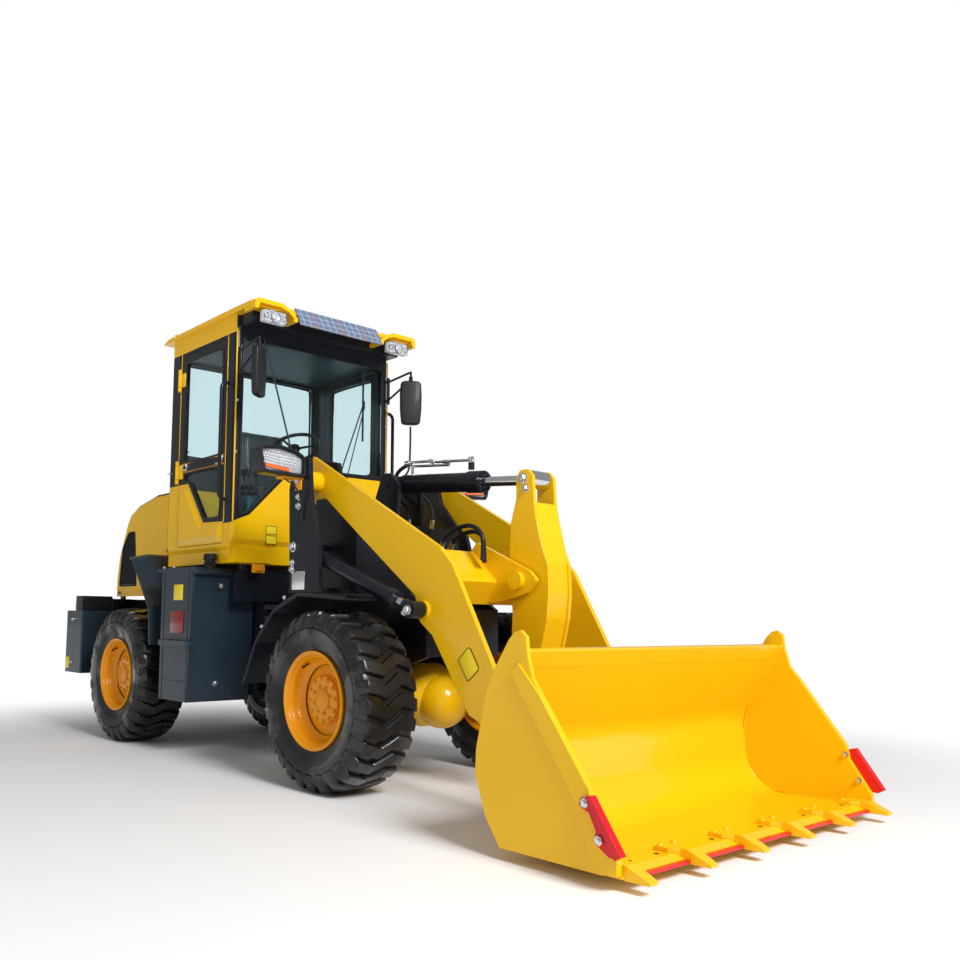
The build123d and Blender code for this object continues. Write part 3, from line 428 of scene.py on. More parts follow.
# Geometry Nodes: one tree sets an item at places, the other sets it round a wheel's axis
class Grower:
    def __init__(self, name, *inputs):
        self.tree = bpy.data.node_groups.new(name, "GeometryNodeTree")
        for label, kind in inputs:
            self.tree.interface.new_socket(label, in_out="INPUT", socket_type=kind)
        self.tree.interface.new_socket("Geometry", in_out="OUTPUT", socket_type="NodeSocketGeometry")
        self.given = self.tree.nodes.new("NodeGroupInput")

    def add(self, kind, settings, inputs):
        node = self.tree.nodes.new(kind)
        for name, value in settings.items():
            setattr(node, name, value)
        for name, value in inputs.items():
            if isinstance(value, bpy.types.NodeSocket):
                self.tree.links.new(value, node.inputs[name])
            else:
                node.inputs[name].default_value = value
        return node

    def finish(self, instances):
        real = self.add("GeometryNodeRealizeInstances", {}, {"Geometry": instances})
        done = self.add("GeometryNodeSetMaterial", {}, {
            "Geometry": real.outputs[0], "Material": self.given.outputs["Finish"]})
        self.add("NodeGroupOutput", {}, {"Geometry": done.outputs[0]})
        return self.tree


def placeTree():
    grower = Grower("setAtPlaces", ("Places", "NodeSocketGeometry"), ("Item", "NodeSocketObject"),
                    ("Finish", "NodeSocketMaterial"))
    item = grower.add("GeometryNodeObjectInfo", {}, {"Object": grower.given.outputs["Item"]})
    facing = grower.add("GeometryNodeInputNamedAttribute", {"data_type": "FLOAT_VECTOR"}, {"Name": "facing"})
    size = grower.add("GeometryNodeInputNamedAttribute", {"data_type": "FLOAT"}, {"Name": "size"})
    turn = grower.add("FunctionNodeAlignRotationToVector", {"axis": "Z"}, {"Vector": facing.outputs[0]})
    return grower.finish(grower.add("GeometryNodeInstanceOnPoints", {}, {
        "Points": grower.given.outputs["Places"], "Instance": item.outputs["Geometry"],
        "Rotation": turn.outputs[0], "Scale": size.outputs[0]}).outputs[0])


def ringTree():
    grower = Grower("setRoundAxle", ("Item", "NodeSocketGeometry"), ("Count", "NodeSocketInt"),
                    ("Turn", "NodeSocketFloat"), ("Finish", "NodeSocketMaterial"))
    points = grower.add("GeometryNodeMeshLine", {}, {
        "Count": grower.given.outputs["Count"], "Offset": (0, 0, 0)})
    index = grower.add("GeometryNodeInputIndex", {}, {})
    share = grower.add("ShaderNodeMath", {"operation": "DIVIDE"}, {
        0: index.outputs[0], 1: grower.given.outputs["Count"]})
    angle = grower.add("ShaderNodeMath", {"operation": "MULTIPLY_ADD"}, {
        0: share.outputs[0], 1: 2 * math.pi, 2: grower.given.outputs["Turn"]})
    turn = grower.add("ShaderNodeCombineXYZ", {}, {"Y": angle.outputs[0]})
    return grower.finish(grower.add("GeometryNodeInstanceOnPoints", {}, {
        "Points": points.outputs[0], "Instance": grower.given.outputs["Item"],
        "Rotation": turn.outputs[0]}).outputs[0])


def grow(tree, base, values):
    worker = bpy.data.objects.new(base.name, base)
    bpy.context.collection.objects.link(worker)
    modifier = worker.modifiers.new("grow", "NODES")
    modifier.node_group = tree
    for socket in tree.interface.items_tree:
        if socket.in_out == "INPUT" and socket.name in values:
            modifier[socket.identifier] = values[socket.name]
    bpy.context.view_layer.update()
    mesh = bpy.data.meshes.new_from_object(worker.evaluated_get(bpy.context.evaluated_depsgraph_get()))
    bpy.data.objects.remove(worker)
    return mesh


placesTree, axleTree = placeTree(), ringTree()


def setOut(name, item, places, finish):      # places: point, direction it faces, size
    points = bpy.data.meshes.new(name)
    points.from_pydata([at(*point) for point, facing, size in places], [], [])
    points.attributes.new("facing", "FLOAT_VECTOR", "POINT")
    points.attributes.new("size", "FLOAT", "POINT")      # both exist before either is filled
    for k, (point, facing, size) in enumerate(places):
        points.attributes["facing"].data[k].vector = facing
        points.attributes["size"].data[k].value = size
    holder = bpy.data.objects.new(name + "Item", item)
    bpy.context.collection.objects.link(holder)
    mesh = grow(placesTree, points, {"Item": holder, "Finish": finishes[finish]})
    bpy.data.objects.remove(holder)
    return mesh


def hexBolt():      # a head one unit across its corners, on a washer, standing on its foot
    shape = bmesh.new()
    lathe(shape, [(0, 0), (0.62, 0), (0.62, 0.1), (0.5, 0.12)], sides=16)
    lathe(shape, [(0.5, 0.08), (0.5, 0.42), (0.44, 0.5), (0, 0.5)], sides=6)
    lathe(shape, [(0.27, 0.48), (0.27, 0.62), (0.22, 0.66), (0, 0.66)], sides=12)
    return meshFrom("hexBolt", shape)


def domeBolt():      # a round head one unit across
    shape = bmesh.new()
    lathe(shape, [(0.5, 0), (0.5, 0.14), (0.4, 0.3), (0.22, 0.38), (0, 0.4)], sides=16)
    return meshFrom("domeBolt", shape)


hexMesh, domeMesh = hexBolt(), domeBolt()


# Wheels
wheel = {
    "frontX": 1000, "rearX": -1419, "y": 655, "radius": 475,
    "lugs": 28, "lugWidth": 66, "lugBevel": 4, "lugFlare": 5, "lugFoot": 444, "shoulder": 150, "shoulderDrop": 10,
    "zigzag": ((168, 4), (150, 0), (50, -32), (-50, 32), (-150, 0), (-168, -4)),      # across, along
    "faceBolts": ((12, 0.1, 112, 0.0945, 0.022), (8, 0.3, 72, 0.0965, 0.017)),      # count, turn, circle, foot, size
}


def carcass():      # the wheel stands with its axle along Y, its outboard side towards +Y
    half = [
        (146, 243), (151, 252), (157, 262), (159, 268), (160, 276), (166, 290), (172, 308), (173, 311),
        (177, 314), (180, 332), (182.5, 352), (183.5, 368), (183, 376), (180, 380), (181, 392),
        (177, 410), (168, 428), (154, 441), (120, 446), (60, 448.5), (0, 449)]
    profile = [(r / 1000, y / 1000) for y, r in half]
    profile += [(r, -y) for r, y in reversed(profile[:-1])]
    shape = bmesh.new()
    lathe(shape, profile, axis=left, sides=96)
    bmesh.ops.recalc_face_normals(shape, faces=shape.faces)
    return meshFrom("carcass", shape)


def lug(spec):      # one bar of the tread across the top of the tyre
    def along(y):
        path = sorted(spec["zigzag"])
        for (y0, s0), (y1, s1) in zip(path, path[1:]):
            if y0 <= y <= y1:
                return s0 + (s1 - s0) * (y - y0) / (y1 - y0)
        return path[0][1] if y < path[0][0] else path[-1][1]

    def top(y):
        return spec["radius"] - spec["shoulderDrop"] * (abs(y) / spec["shoulder"]) ** 3

    stations = []      # across, radius of the top, radius of the foot, how far the bevel cuts
    for y in (-150, -140, -110, -80, -60, -50, -40, -20, 0, 20, 40, 50, 60, 80, 110, 140, 150):
        stations.append((y, top(y), spec["lugFoot"], along(y), 1))
    for sign in (-1, 1):
        end = [(sign * 156, 461, 432, along(sign * 156), 1), (sign * 170, 440, 418, along(sign * 168), 1),
               (sign * 179, 412, 396, along(sign * 168), 1), (sign * 183.5, 384, 378, along(sign * 168), 0.4),
               (sign * 183, 372, 370, along(sign * 168), 0.1)]
        stations = [*stations, *end] if sign > 0 else [*reversed(end), *stations]
    shape = bmesh.new()
    rows = []
    half, cut, flare = spec["lugWidth"] / 2, spec["lugBevel"], spec["lugFlare"]
    for y, high, low, middle, share in stations:
        row = []
        for aside, radius in ((-half - flare, low), (-half, high - cut * share), (-half + cut, high),
                              (0, high), (half - cut, high), (half, high - cut * share), (half + flare, low)):
            angle = (middle + aside) / spec["radius"]
            row.append(shape.verts.new((
                radius * math.sin(angle) / 1000, y / 1000, radius * math.cos(angle) / 1000)))
        rows.append(row)
    for first, second in zip(rows, rows[1:]):
        for k in range(6):
            shape.faces.new((first[k], first[k + 1], second[k + 1], second[k]))
        shape.faces.new((first[6], first[0], second[0], second[6]))
    shape.faces.new(rows[0])
    shape.faces.new(rows[-1])
    bmesh.ops.recalc_face_normals(shape, faces=shape.faces)
    return meshFrom("lug", shape)


def rimShell():
    profile = [      # radius, outboard place
        (242, -148), (257, -150), (257, -166), (250, -168), (240, -160), (235, -130), (228, -60),
        (220, -8), (212, 30), (200, 52), (186, 62), (160, 67), (134, 68), (134, 74), (127, 76),
        (126, 92), (122, 96), (60, 98), (60, 104), (56, 107), (0, 107)]
    face = [
        (242, 148), (248, 152), (257, 152), (258.5, 158), (257, 168), (251, 171), (244, 168), (238, 161),
        (236, 156), (234, 156), (233, 150), (229, 144), (224, 138), (222, 130), (220, 112), (214, 96),
        (205, 84), (186, 70)]
    shape = bmesh.new()
    for line in (profile, reversed(face), ((242, -150), (244.5, 0), (242, 150))):
        lathe(shape, [(r / 1000, y / 1000) for r, y in line], axis=left, sides=96)
    return meshFrom("rimShell", shape)


def rimBolt(circle, foot, size):      # one hex head on the wheel's face, above the axle
    shape = bmesh.new()
    shape.from_mesh(hexMesh)
    bmesh.ops.scale(shape, vec=(size, size, size), verts=shape.verts)
    bmesh.ops.rotate(shape, cent=(0, 0, 0), matrix=Matrix.Rotation(-math.pi / 2, 3, "X"), verts=shape.verts)
    bmesh.ops.translate(shape, vec=(0, foot, circle), verts=shape.verts)
    return meshFrom("rimBolt", shape)


def makeWheels(spec):
    lugs = grow(axleTree, lug(spec), {"Count": spec["lugs"], "Turn": 0.0, "Finish": finishes["tyre_rubber"]})
    tyre = joined("tyre", [carcass(), lugs])
    rim = joined("rim", [rimShell(), *(
        grow(axleTree, rimBolt(circle / 1000, foot, size),
             {"Count": count, "Turn": turn, "Finish": finishes["orange_yellow_paint"]})
        for count, turn, circle, foot, size in spec["faceBolts"])])
    stem = bmesh.new()
    lathe(stem, [(0, 0), (0.0045, 0), (0.0045, 0.05), (0.0062, 0.052), (0.0062, 0.068), (0, 0.07)],
          (0.12, 0.088, 0.19), (-0.15, 0.85, -0.35), 12)
    stem = meshFrom("stem", stem)
    for place, x in (("front", spec["frontX"]), ("rear", spec["rearX"])):
        for side, sign in sides:
            centre = Matrix.Translation(at(x, sign * spec["y"], spec["radius"]))
            facing = Matrix.Rotation(0 if sign > 0 else math.pi, 4, "Z")
            for name, mesh, finish, *nodes in (
                    ("treadedTyre", tyre, "tyre_rubber", "tyre"), ("dishedRim", rim, "orange_yellow_paint", "rim"),
                    ("valveStem", stem, "black_plastic")):
                copy = mesh.copy()
                copy.transform(centre @ facing)
                setPiece(f"{name}_{place}_{side}", copy, finish, f"wheel_{place}_{side}",
                         *[f"{node}_{place}_{side}" for node in nodes], sharp=40)


makeWheels(wheel)
print("wheels are made")


# Bolts that show, each set on the body that holds it: point, direction it faces, size
def flanks(y, size, *spots, way=1):      # on both sides, facing outwards, or inwards where way is -1
    return [((x, s * y, z), (0, s * way, 0), size) for s in (-1, 1) for x, z in spots]


bolts = {
    "rear_frame": [
        *[((x, y, z), ahead, 0.034) for y in (-596, 596) for x, z in ((-336, 1098), (-388, 470))],
        *[((x, y, 2909), up, 0.02) for x in (-1010, -620, -230) for y in (-640, 640)],
        *[((-139, y, z), ahead, 0.016) for y in (-634, 634) for z in (1960, 2300, 2660)],
        *[((x, -824, 1216), up, 0.02) for x in (-560, -700)],
        *[((-2438, y, z), (-1, 0, 0), 0.026) for y in (-600, -700, 600, 700) for z in (500, 870)],
        *flanks(801, 0.022, (-2300, 520), (-2300, 860)),
    ],
    "front_frame": [
        *flanks(619, 0.034, (560, 1602), (560, 1548), (508, 1218), (508, 1180)),
        *flanks(619, 0.05, (560, 1700), (515, 1312)), *flanks(801, 0.018, (700, 1012), (480, 850)),
    ],
    "boom": flanks(590, 0.04, (1486, 950)),
    "lift_rods": flanks(584, 0.026, (1452, 935)),
    "bellcrank": [*flanks(92, 0.046, (1811, 1631)), *flanks(92, 0.034, (1826, 1578))],
    "bucket": [*flanks(1015, 0.036, (2893, 285), (2950, 170)),
               *flanks(974, 0.026, (2893, 285), (2950, 170), way=-1)],
    "door_right": [((-730, -652, 2030), right, 0.014)],
    "door_left": [((-730, 652, 2030), left, 0.014)],
    "hood": flanks(456, 0.026, (-1330, 1480), (-1330, 1700)),
}
for body, places in bolts.items():
    setPiece("bolts_" + body, setOut("bolts_" + body, hexMesh, places, "boltZinc"), "boltZinc", body)

# The cutting edge: teeth stand at shares of its half width, bolts and holes aside of them; each hole is a flat dark
# disc, painted shade where a hole's inside would be shaded
cuttingEdge = {
    "half": 933, "teeth": (-1, -0.6, -0.2, 0.2, 0.6, 1), "step": 0.2, "limit": 970,
    "boltAside": 44, "boltX": 2908, "boltZ": 83.5, "boltFacing": (-0.2, 0, 1), "boltSize": 0.026,
    "holeAside": 84, "holeX": 2930, "holeZ": 70.2, "holeSize": 0.02,
}


def dressEdge(spec):
    half, teeth = spec["half"], spec["teeth"]
    ways = [half * share + s * spec["boltAside"] for share in teeth for s in (-1, 1)]
    places = [((spec["boltX"], y, spec["boltZ"]), spec["boltFacing"], spec["boltSize"])
              for y in ways if abs(y) < spec["limit"]]
    setPiece("toothBolts", setOut("toothBolts", domeMesh, places, "yellow_paint"), "yellow_paint", "bucket")
    # painted shade: a thin dark disc on the lip stands in for each hole, its darkness the shade inside a real hole
    hole = bmesh.new()
    lathe(hole, [(0.5, 0), (0.46, 0.04), (0, 0.045)], sides=16)
    places = [((spec["holeX"], half * (share + spec["step"]) + s * spec["holeAside"], spec["holeZ"]), up,
               spec["holeSize"]) for share in teeth[:-1] for s in (-1, 1)]
    setPiece("lipHoles", setOut("lipHoles", meshFrom("lipHole", hole), places, "darkHole"), "darkHole", "bucket")


dressEdge(cuttingEdge)
print("bolts are set out")


# Weld beads along the joints of plates
welds = {
    "boom": tuple(
        tuple((x, s * y, z) for x, z in run)
        for y, run in ((456, ((1441, 1205), (1484, 1270), (1662, 1100), (1590, 986))),
                       (131, ((1484, 1268), (1662, 1100), (1590, 986)))) for s in (-1, 1)),
    "bucket": tuple(
        tuple((x, s * 974, z) for x, z in (
            (2930, 60), (2720, 60), (2560, 61), (2470, 82), (2408, 150), (2379, 260), (2384, 400),
            (2420, 492), (2500, 622), (2600, 786))) for s in (-1, 1)),
    "bellcrank": tuple(
        tuple((x + 4, s * 88, z) for x, z in ((1870, 1500), (1890, 1400), (1942, 1190), (1948, 1038),
                                              (1932, 915), (1890, 752))) for s in (-1, 1)),
}
for body, runs in welds.items():
    setPiece("welds_" + body, [pipe("weld", run, 3.5, straight=body != "bucket") for run in runs],
             "yellow_paint", body)
print("welds are laid")


# Hoses, pipes and their fittings
hoses = {
    "boom": {
        "hoseRubber": (
            (12, ((1310, -190, 1306), (1330, -190, 1340), (1375, -192, 1372), (1470, -196, 1400),
                  (1560, -200, 1398), (1625, -204, 1352), (1640, -206, 1290), (1630, -206, 1210))),
            (12, ((1350, -160, 1296), (1372, -160, 1326), (1420, -162, 1354), (1500, -166, 1372),
                  (1580, -170, 1362), (1614, -174, 1310), (1616, -176, 1200))),
        ),
        "chrome": (
            (15, ((1300, -190, 1292), (1322, -190, 1322))), (15, ((1342, -160, 1284), (1364, -160, 1316))),
            (9, ((1296, -190, 1280), (1250, -190, 1180), (1230, -190, 1040))),
            (9, ((1338, -160, 1276), (1290, -160, 1170), (1270, -160, 1040))),
        ),
    },
    "tilt_barrel": {
        "chrome": (
            (8, ((800, 0, 1843), (1016, 0, 1831), (1040, 0, 1818), (1157, 0, 1812), (1330, 0, 1796),
                 (1346, 0, 1792), (1350, 0, 1775), (1350, 0, 1740))),
            (8, ((843, 14, 1820), (1000, 20, 1806), (1146, 26, 1794))),
            (13, ((796, 0, 1843), (836, 0, 1841))), (13, ((1010, 0, 1831), (1050, 0, 1817))),
            (16, ((1350, 0, 1812), (1350, 0, 1776))), (12, ((1120, 4, 1814), (1180, 4, 1806))),
            (11, ((1330, 0, 1798), (1366, 0, 1790))),
            (10, ((858, 0, 1820), (858, 0, 1770))),
        ),
        "black_paint": ((18, ((1350, 0, 1779), (1350, 0, 1740))),),
    },
    "front_frame": {
        "hoseRubber": (
            (12, ((800, 40, 1843), (740, 40, 1836), (668, 40, 1800), (640, 36, 1730), (664, 30, 1650),
                  (760, 30, 1590), (800, 30, 1520), (800, 30, 1465))),
            (10, ((700, 128, 1690), (772, 130, 1666), (850, 132, 1626), (890, 134, 1560), (899, 134, 1505),
                  (886, 134, 1450), (875, 134, 1413))),
            (11, ((500, -150, 1462), (520, -170, 1560), (470, -200, 1640), (380, -220, 1600),
                  (300, -220, 1400), (260, -200, 1100))),
            (11, ((500, 150, 1462), (530, 170, 1540), (470, 200, 1600), (370, 220, 1560),
                  (300, 220, 1400), (260, 200, 1100))),
        ),
        "chrome": (
            (13, ((898, 134, 1500), (884, 134, 1446))), (12, ((800, 30, 1500), (800, 30, 1462))),
        ),
    },
}
for body, kinds in hoses.items():
    for finish, runs in kinds.items():
        name = {"hoseRubber": "hoses_", "chrome": "pipes_", "black_paint": "ports_"}[finish] + body
        setPiece(name, [pipe("run", points, radius) for radius, points in runs], finish, body, sharp=40)


gland = {"rearPin": (744, 0, 1719), "frontPin": (1811, 0, 1631), "reach": 0.705, "circle": 0.047,
         "bolts": 8, "size": 0.014}


def makeGlandBolts(spec):      # socket heads round the tilt cylinder's gland
    rear = at(*spec["rearPin"])
    axis = (at(*spec["frontPin"]) - rear).normalized()
    head = bmesh.new()
    lathe(head, [(0.5, 0), (0.5, 0.8), (0.42, 0.86), (0.2, 0.86), (0.2, 0.5), (0, 0.5)], sides=12)
    foot = rear + axis * spec["reach"]
    side = Vector(left)
    high = axis.cross(side)
    places = []
    for k in range(spec["bolts"]):
        turn = 2 * math.pi * k / spec["bolts"]
        spot = foot + side * math.cos(turn) * spec["circle"] + high * math.sin(turn) * spec["circle"]
        places.append((millimetres(spot), axis, spec["size"]))
    setPiece("glandBolts", setOut("glandBolts", meshFrom("socketHead", head), places, "black_paint"),
             "black_paint", "tilt_barrel")


makeGlandBolts(gland)
print("hoses and pipes are run")


# Boxes that dress both sides; across is measured outwards from the middle of the machine
sideBoxes = {      # finish, body, then low corner, high corner, bevel and its segments of each box
    "pillarEdges": ("yellow_paint", "rear_frame", (
        ((-881, 648, 1812), (-875, 653, 2755), 1), ((-243, 648, 1512), (-237, 653, 2755), 1),
        ((-144, 638, 1500), (-137, 648, 2780), 2))),
    "bandLines": ("orange_yellow_paint", "door", (
        ((-868, 649, 1893), (-252, 652, 1899), 1), ((-868, 649, 1953), (-252, 652, 1958), 1))),
    "lampBracket": ("orange_yellow_paint", "front_frame", (
        ((520, 600, 1698), (598, 760, 1711), 3), ((528, 619, 1640), (590, 627, 1700), 3))),
    "workLampShell": ("lamp_body", "rear_frame", (
        ((68, 432, 2773), (112, 612, 2851), 12, 3), ((62, 500, 2845), (92, 545, 2867), 3)), "roof_lamps"),
    "workLampGlass": ("clearGlass", "rear_frame", (((113, 434, 2775), (129, 610, 2849), 7, 3),)),
    "tankLabel": ("labelYellow", "rear_frame", (((-600, 800, 1004), (-474, 802, 1106), 1),)),
    "tankReflector": ("redLens", "rear_frame", (((-633, 800, 789), (-453, 806, 933), 4),)),
    "hoodLatch": ("black_plastic", "hood", (((-1380, 455, 1372), (-1262, 472, 1400), 6, 3),)),
    "lampRibs": ("black_plastic", "rear_frame", tuple(
        ((-2334, 516, z), (-2196, 774, z + 7), 2) for z in (948, 968, 988, 1008, 1028))),
    "tailLens": ("redLens", "rear_frame", (
        ((-2336, 528, 952), (-2329, 606, 1036), 3), ((-2336, 686, 952), (-2329, 762, 1036), 3))),
    "indicatorLens": ("amberLens", "rear_frame", (((-2336, 612, 952), (-2329, 680, 1036), 3),)),
    "boxLabel": ("labelYellow", "rear_frame", (((-2420, 800, 470), (-2350, 802, 560), 1),)),
}
fenderLine = ((1240, 1012), (1000, 1026), (826, 1036), (716, 1000), (590, 946), (500, 858), (415, 772),
              (350, 650), (290, 524))
sidePipes = {      # finish, body, straight or curved, then radius and points of each pipe
    "doorStay": ("boltZinc", "rear_frame", True, (
        (5, (-965, 648, 1905), (-965, 676, 1905)), (4, (-950, 662, 1905), (-1020, 664, 1905)))),
    "lampLead": ("hoseRubber", "front_frame", False, (
        (5, (560, 740, 1712), (570, 720, 1690), (590, 680, 1668), (600, 640, 1610), (606, 628, 1540),
         (600, 624, 1460)),)),
    "tankSeams": ("slate_paint", "rear_frame", True, (
        (2.4, (-400, 801, 352), (-400, 801, 1190)), (2.4, (-735, 801, 352), (-735, 801, 1190)),
        (2.4, (-700, 801, 480), (-420, 801, 480)))),
    "hoodSeams": ("yellow_paint", "hood", True, (
        (2, (-1400, 455.5, 1335), (-1400, 455.5, 1800)),
        (2, (-1100, 455.5, 1420), (-1420, 455.5, 1420), (-1700, 455.5, 1140)))),
    "boxSeams": ("slate_paint", "rear_frame", True, (
        (3, (-2436, 792, 880), (-2130, 792, 880)), (3, (-2436, 500, 880), (-2436, 790, 880)))),
    "fenderEdge": ("black_paint", "front_frame", False, (
        (8, *((x, 797, z - 4) for x, z in fenderLine)),
        *((5, *((x, y, z - 1) for x, z in fenderLine[1:])) for y in (560, 700)))),
}


def sideBox(shape, sign, low, high, bevel=0, segments=2):
    near, far = sorted((sign * low[1], sign * high[1]))
    box(shape, (low[0], near, low[2]), (high[0], far, high[2]), bevel, segments)


for side, sign in sides:
    for name, (finish, body, boxes, *replaced) in sideBoxes.items():
        setPiece(f"{name}_{side}", made(sideBox, *((sign, *spec) for spec in boxes)), finish,
                 "door_" + side if body == "door" else body, *replaced)
    for name, (finish, body, straight, runs) in sidePipes.items():
        setPiece(f"{name}_{side}", [
            pipe(name, [(x, sign * y, z) for x, y, z in points], radius, straight=straight)
            for radius, *points in runs], finish, body)
print("both sides are trimmed")


# Cab: seals, hinge covers, lock plates, grips and rail feet
cab = {
    "windscreen": ((-598, 2721), (-598, 1546), (-524, 1586), (-282, 1827), (-207, 1904), (598, 1913),
                   (598, 2721)),
    "rearWindow": ((-580, 2050), (580, 2050), (580, 2730), (-580, 2730)),
    "doorWindow": ((-812, 1960), (-298, 1960), (-298, 2680), (-812, 2680)),
    "lowWindow": ((-790, 1888), (-290, 1888), (-290, 1541), (-498, 1549), (-712, 1824), (-790, 1832)),
    "seal": 8, "cornerCut": 22,
    "hingeX": -874, "hingeY": 664, "hingeRises": (1900, 2560), "hingeRadius": 0.0145,
    "railX": -176, "railRises": (1650, 2410),
    "lockPlates": (((-800, 1902), (-750, 1902), (-750, 1950), (-800, 1950)),
                   ((-352, 1900), (-272, 1900), (-268, 1950), (-348, 1952))),
}


def rounded(points, cut):      # the closed outline with two points in place of each corner
    line = []
    for before, point, after in zip((points[-1], *points[:-1]), points, (*points[1:], points[0])):
        for other in (before, after):
            length = math.dist(point, other)
            share = min(cut, length * 0.4) / length
            line.append(tuple(p + (o - p) * share for p, o in zip(point, other)))
    return line


def sealLoop(key, place):
    return pipe("seal", [place(a, b) for a, b in rounded(cab[key], cab["cornerCut"])], cab["seal"], closed=True)


def makeDoorTrim(spec, side, sign):
    setPiece("doorSeals_" + side, [sealLoop(key, lambda a, b: (a, sign * 649, b))
                                   for key in ("doorWindow", "lowWindow")], "sealRubber", "door_" + side)
    leaves, feet = bmesh.new(), bmesh.new()
    pinX, pinY, radius = spec["hingeX"], sign * spec["hingeY"], spec["hingeRadius"]
    for z in spec["hingeRises"]:
        sideBox(leaves, sign, (-872, 650, z - 50), (-806, 662, z + 50), 4)
        lathe(leaves, [(0, -0.047), (radius, -0.047), (radius, 0.047), (0, 0.047)], at(pinX, pinY, z), up, 20)
        for low in (z - 79, z + 49):
            sideBox(feet, sign, (-914, 650, low), (-876, 662, low + 30), 3)
            lathe(feet, [(0, 0), (radius, 0), (radius, 0.03), (0, 0.03)], at(pinX, pinY, low), up, 20)
    for shape in (leaves, feet):
        bmesh.ops.recalc_face_normals(shape, faces=shape.faces)
    setPiece("hingeLeaves_" + side, leaves, "yellow_paint", "door_" + side)
    setPiece("hingeFeet_" + side, feet, "yellow_paint", "rear_frame")
    inner, outer = sorted((sign * 650, sign * 661))
    setPiece("lockPlates_" + side, made(prism, *((outline, "y", inner, outer, 2) for outline in spec["lockPlates"])),
             "boltZinc", "door_" + side)
    grip = made(sideBox, (sign, (-345, 660, 1908), (-279, 680, 1942), 7, 3))
    lathe(grip, [(0, 0), (0.012, 0), (0.012, 0.006), (0.007, 0.007), (0, 0.007)],
          at(-775, sign * 660, 1926), (0, sign, 0), 16)
    setPiece("doorGrip_" + side, grip, "black_plastic", "door_" + side)
    socket = ((0.024, 0), (0.024, 0.006), (0.016, 0.016), (0.0125, 0.02))
    setPiece("railFeet_" + side, made(lathe, *(
        (socket, at(spec["railX"], sign * 650, z), (0, sign, 0), 24) for z in spec["railRises"])),
        "black_plastic", "rear_frame")


setPiece("cabSeals", [sealLoop("windscreen", lambda a, b: (-141, a, b)),
                      sealLoop("rearWindow", lambda a, b: (-1029, a, b))], "sealRubber", "rear_frame")
for side, sign in sides:
    makeDoorTrim(cab, side, sign)


# Head lamps and the lamps under the roof
headLamp = {
    "rim": ((618, 1712), (618, 1826), (680, 1855), (790, 1874), (918, 1862), (925, 1840), (905, 1728), (880, 1718)),
    "middle": (770, 1790), "backGrow": 0.93, "glassGrow": 0.96, "bezelGrow": 0.995,
    "turnStrip": ((716, 1733), (722, 1758), (800, 1764), (884, 1772), (878, 1748)),
    "cellRows": 7, "cellColumns": 13, "cellSize": 0.016,
}


def makeHeadLamp(spec, side, sign):
    def outline(grow):      # the rim drawn in towards the middle
        return [(sign * (spec["middle"][0] + (y - spec["middle"][0]) * grow),
                 spec["middle"][1] + (z - spec["middle"][1]) * grow) for y, z in spec["rim"]]

    cells = [((593, sign * y, z), ahead, spec["cellSize"])
             for y, z in ((640 + column * 20 + (row % 2) * 10, 1746 + row * 17 + column * 1.5)
                          for row in range(spec["cellRows"]) for column in range(spec["cellColumns"]))
             if y < 905 and z < 1812 + (y - 640) * 0.2]
    cup = made(lathe, (((0, 0.24), (0.16, 0.16), (0.2, 0), (0.42, 0.1), (0.5, 0.3)), (0, 0, 0), up, 10))
    setPiece("lampCells_" + side, setOut("lampCups", meshFrom("cup", cup), cells, "chrome"), "chrome", "front_frame")
    face, inner = outline(spec["backGrow"]), outline(spec["glassGrow"])
    back = made(prism, (face, "x", 591, 593))
    for k in range(len(face)):
        j = (k + 1) % len(face)
        back.faces.new([back.verts.new(at(x, *point)) for x, point in (
            (593, face[k]), (593, face[j]), (608, inner[j]), (608, inner[k]))])
    bmesh.ops.recalc_face_normals(back, faces=back.faces)
    setPiece("lampReflector_" + side, back, "lamp_body", "front_frame", "head_lamp_lenses")
    strip = [(sign * y, z) for y, z in spec["turnStrip"]]
    setPiece("turnLamp_" + side, made(prism, (strip, "x", 594, 603, 3)), "amberLens", "front_frame")
    setPiece("lampGlass_" + side, made(prism, (inner, "x", 607, 610.5, 1.4)), "clearGlass", "front_frame")
    bezel = [(612, y, z) for y, z in rounded(outline(spec["bezelGrow"]), 14)]
    setPiece("lampBezel_" + side, pipe("lampBezel", bezel, 8, closed=True), "black_plastic", "front_frame")


def makeWorkLampBowl(side, sign):
    bowl = ((0, 0.012), (0.011, 0.009), (0.011, 0.002), (0.016, 0), (0.031, 0.004), (0.036, 0.012))
    corner = ((0, 0), (0.015, 0.002), (0.02, 0.01))
    setPiece("workLampBowl_" + side, made(lathe, (bowl, at(112, sign * 522, 2812), ahead, 28), *(
        (corner, at(113, sign * y, 2812), ahead, 4) for y in (456, 588))), "chrome", "rear_frame")


# Mirrors on their arms
mirrors = {
    "x": 124, "y": 640, "z": 2433, "turn": -35, "postX": -112, "postY": 630, "footRises": (2483, 2623),
    "shell": ((-66, -150), (-40, -160), (40, -160), (66, -150), (76, -60), (78, 60), (72, 148), (48, 160),
              (-48, 160), (-72, 148), (-78, 60), (-76, -60)),
    "glass": ((-62, -140), (-52, -150), (52, -150), (62, -140), (66, 0), (64, 140), (54, 152), (-54, 152),
              (-64, 140), (-66, 0)),
    "glassShare": (0.8, 0.88), "glassDepths": (-0.0245, -0.0225),
}


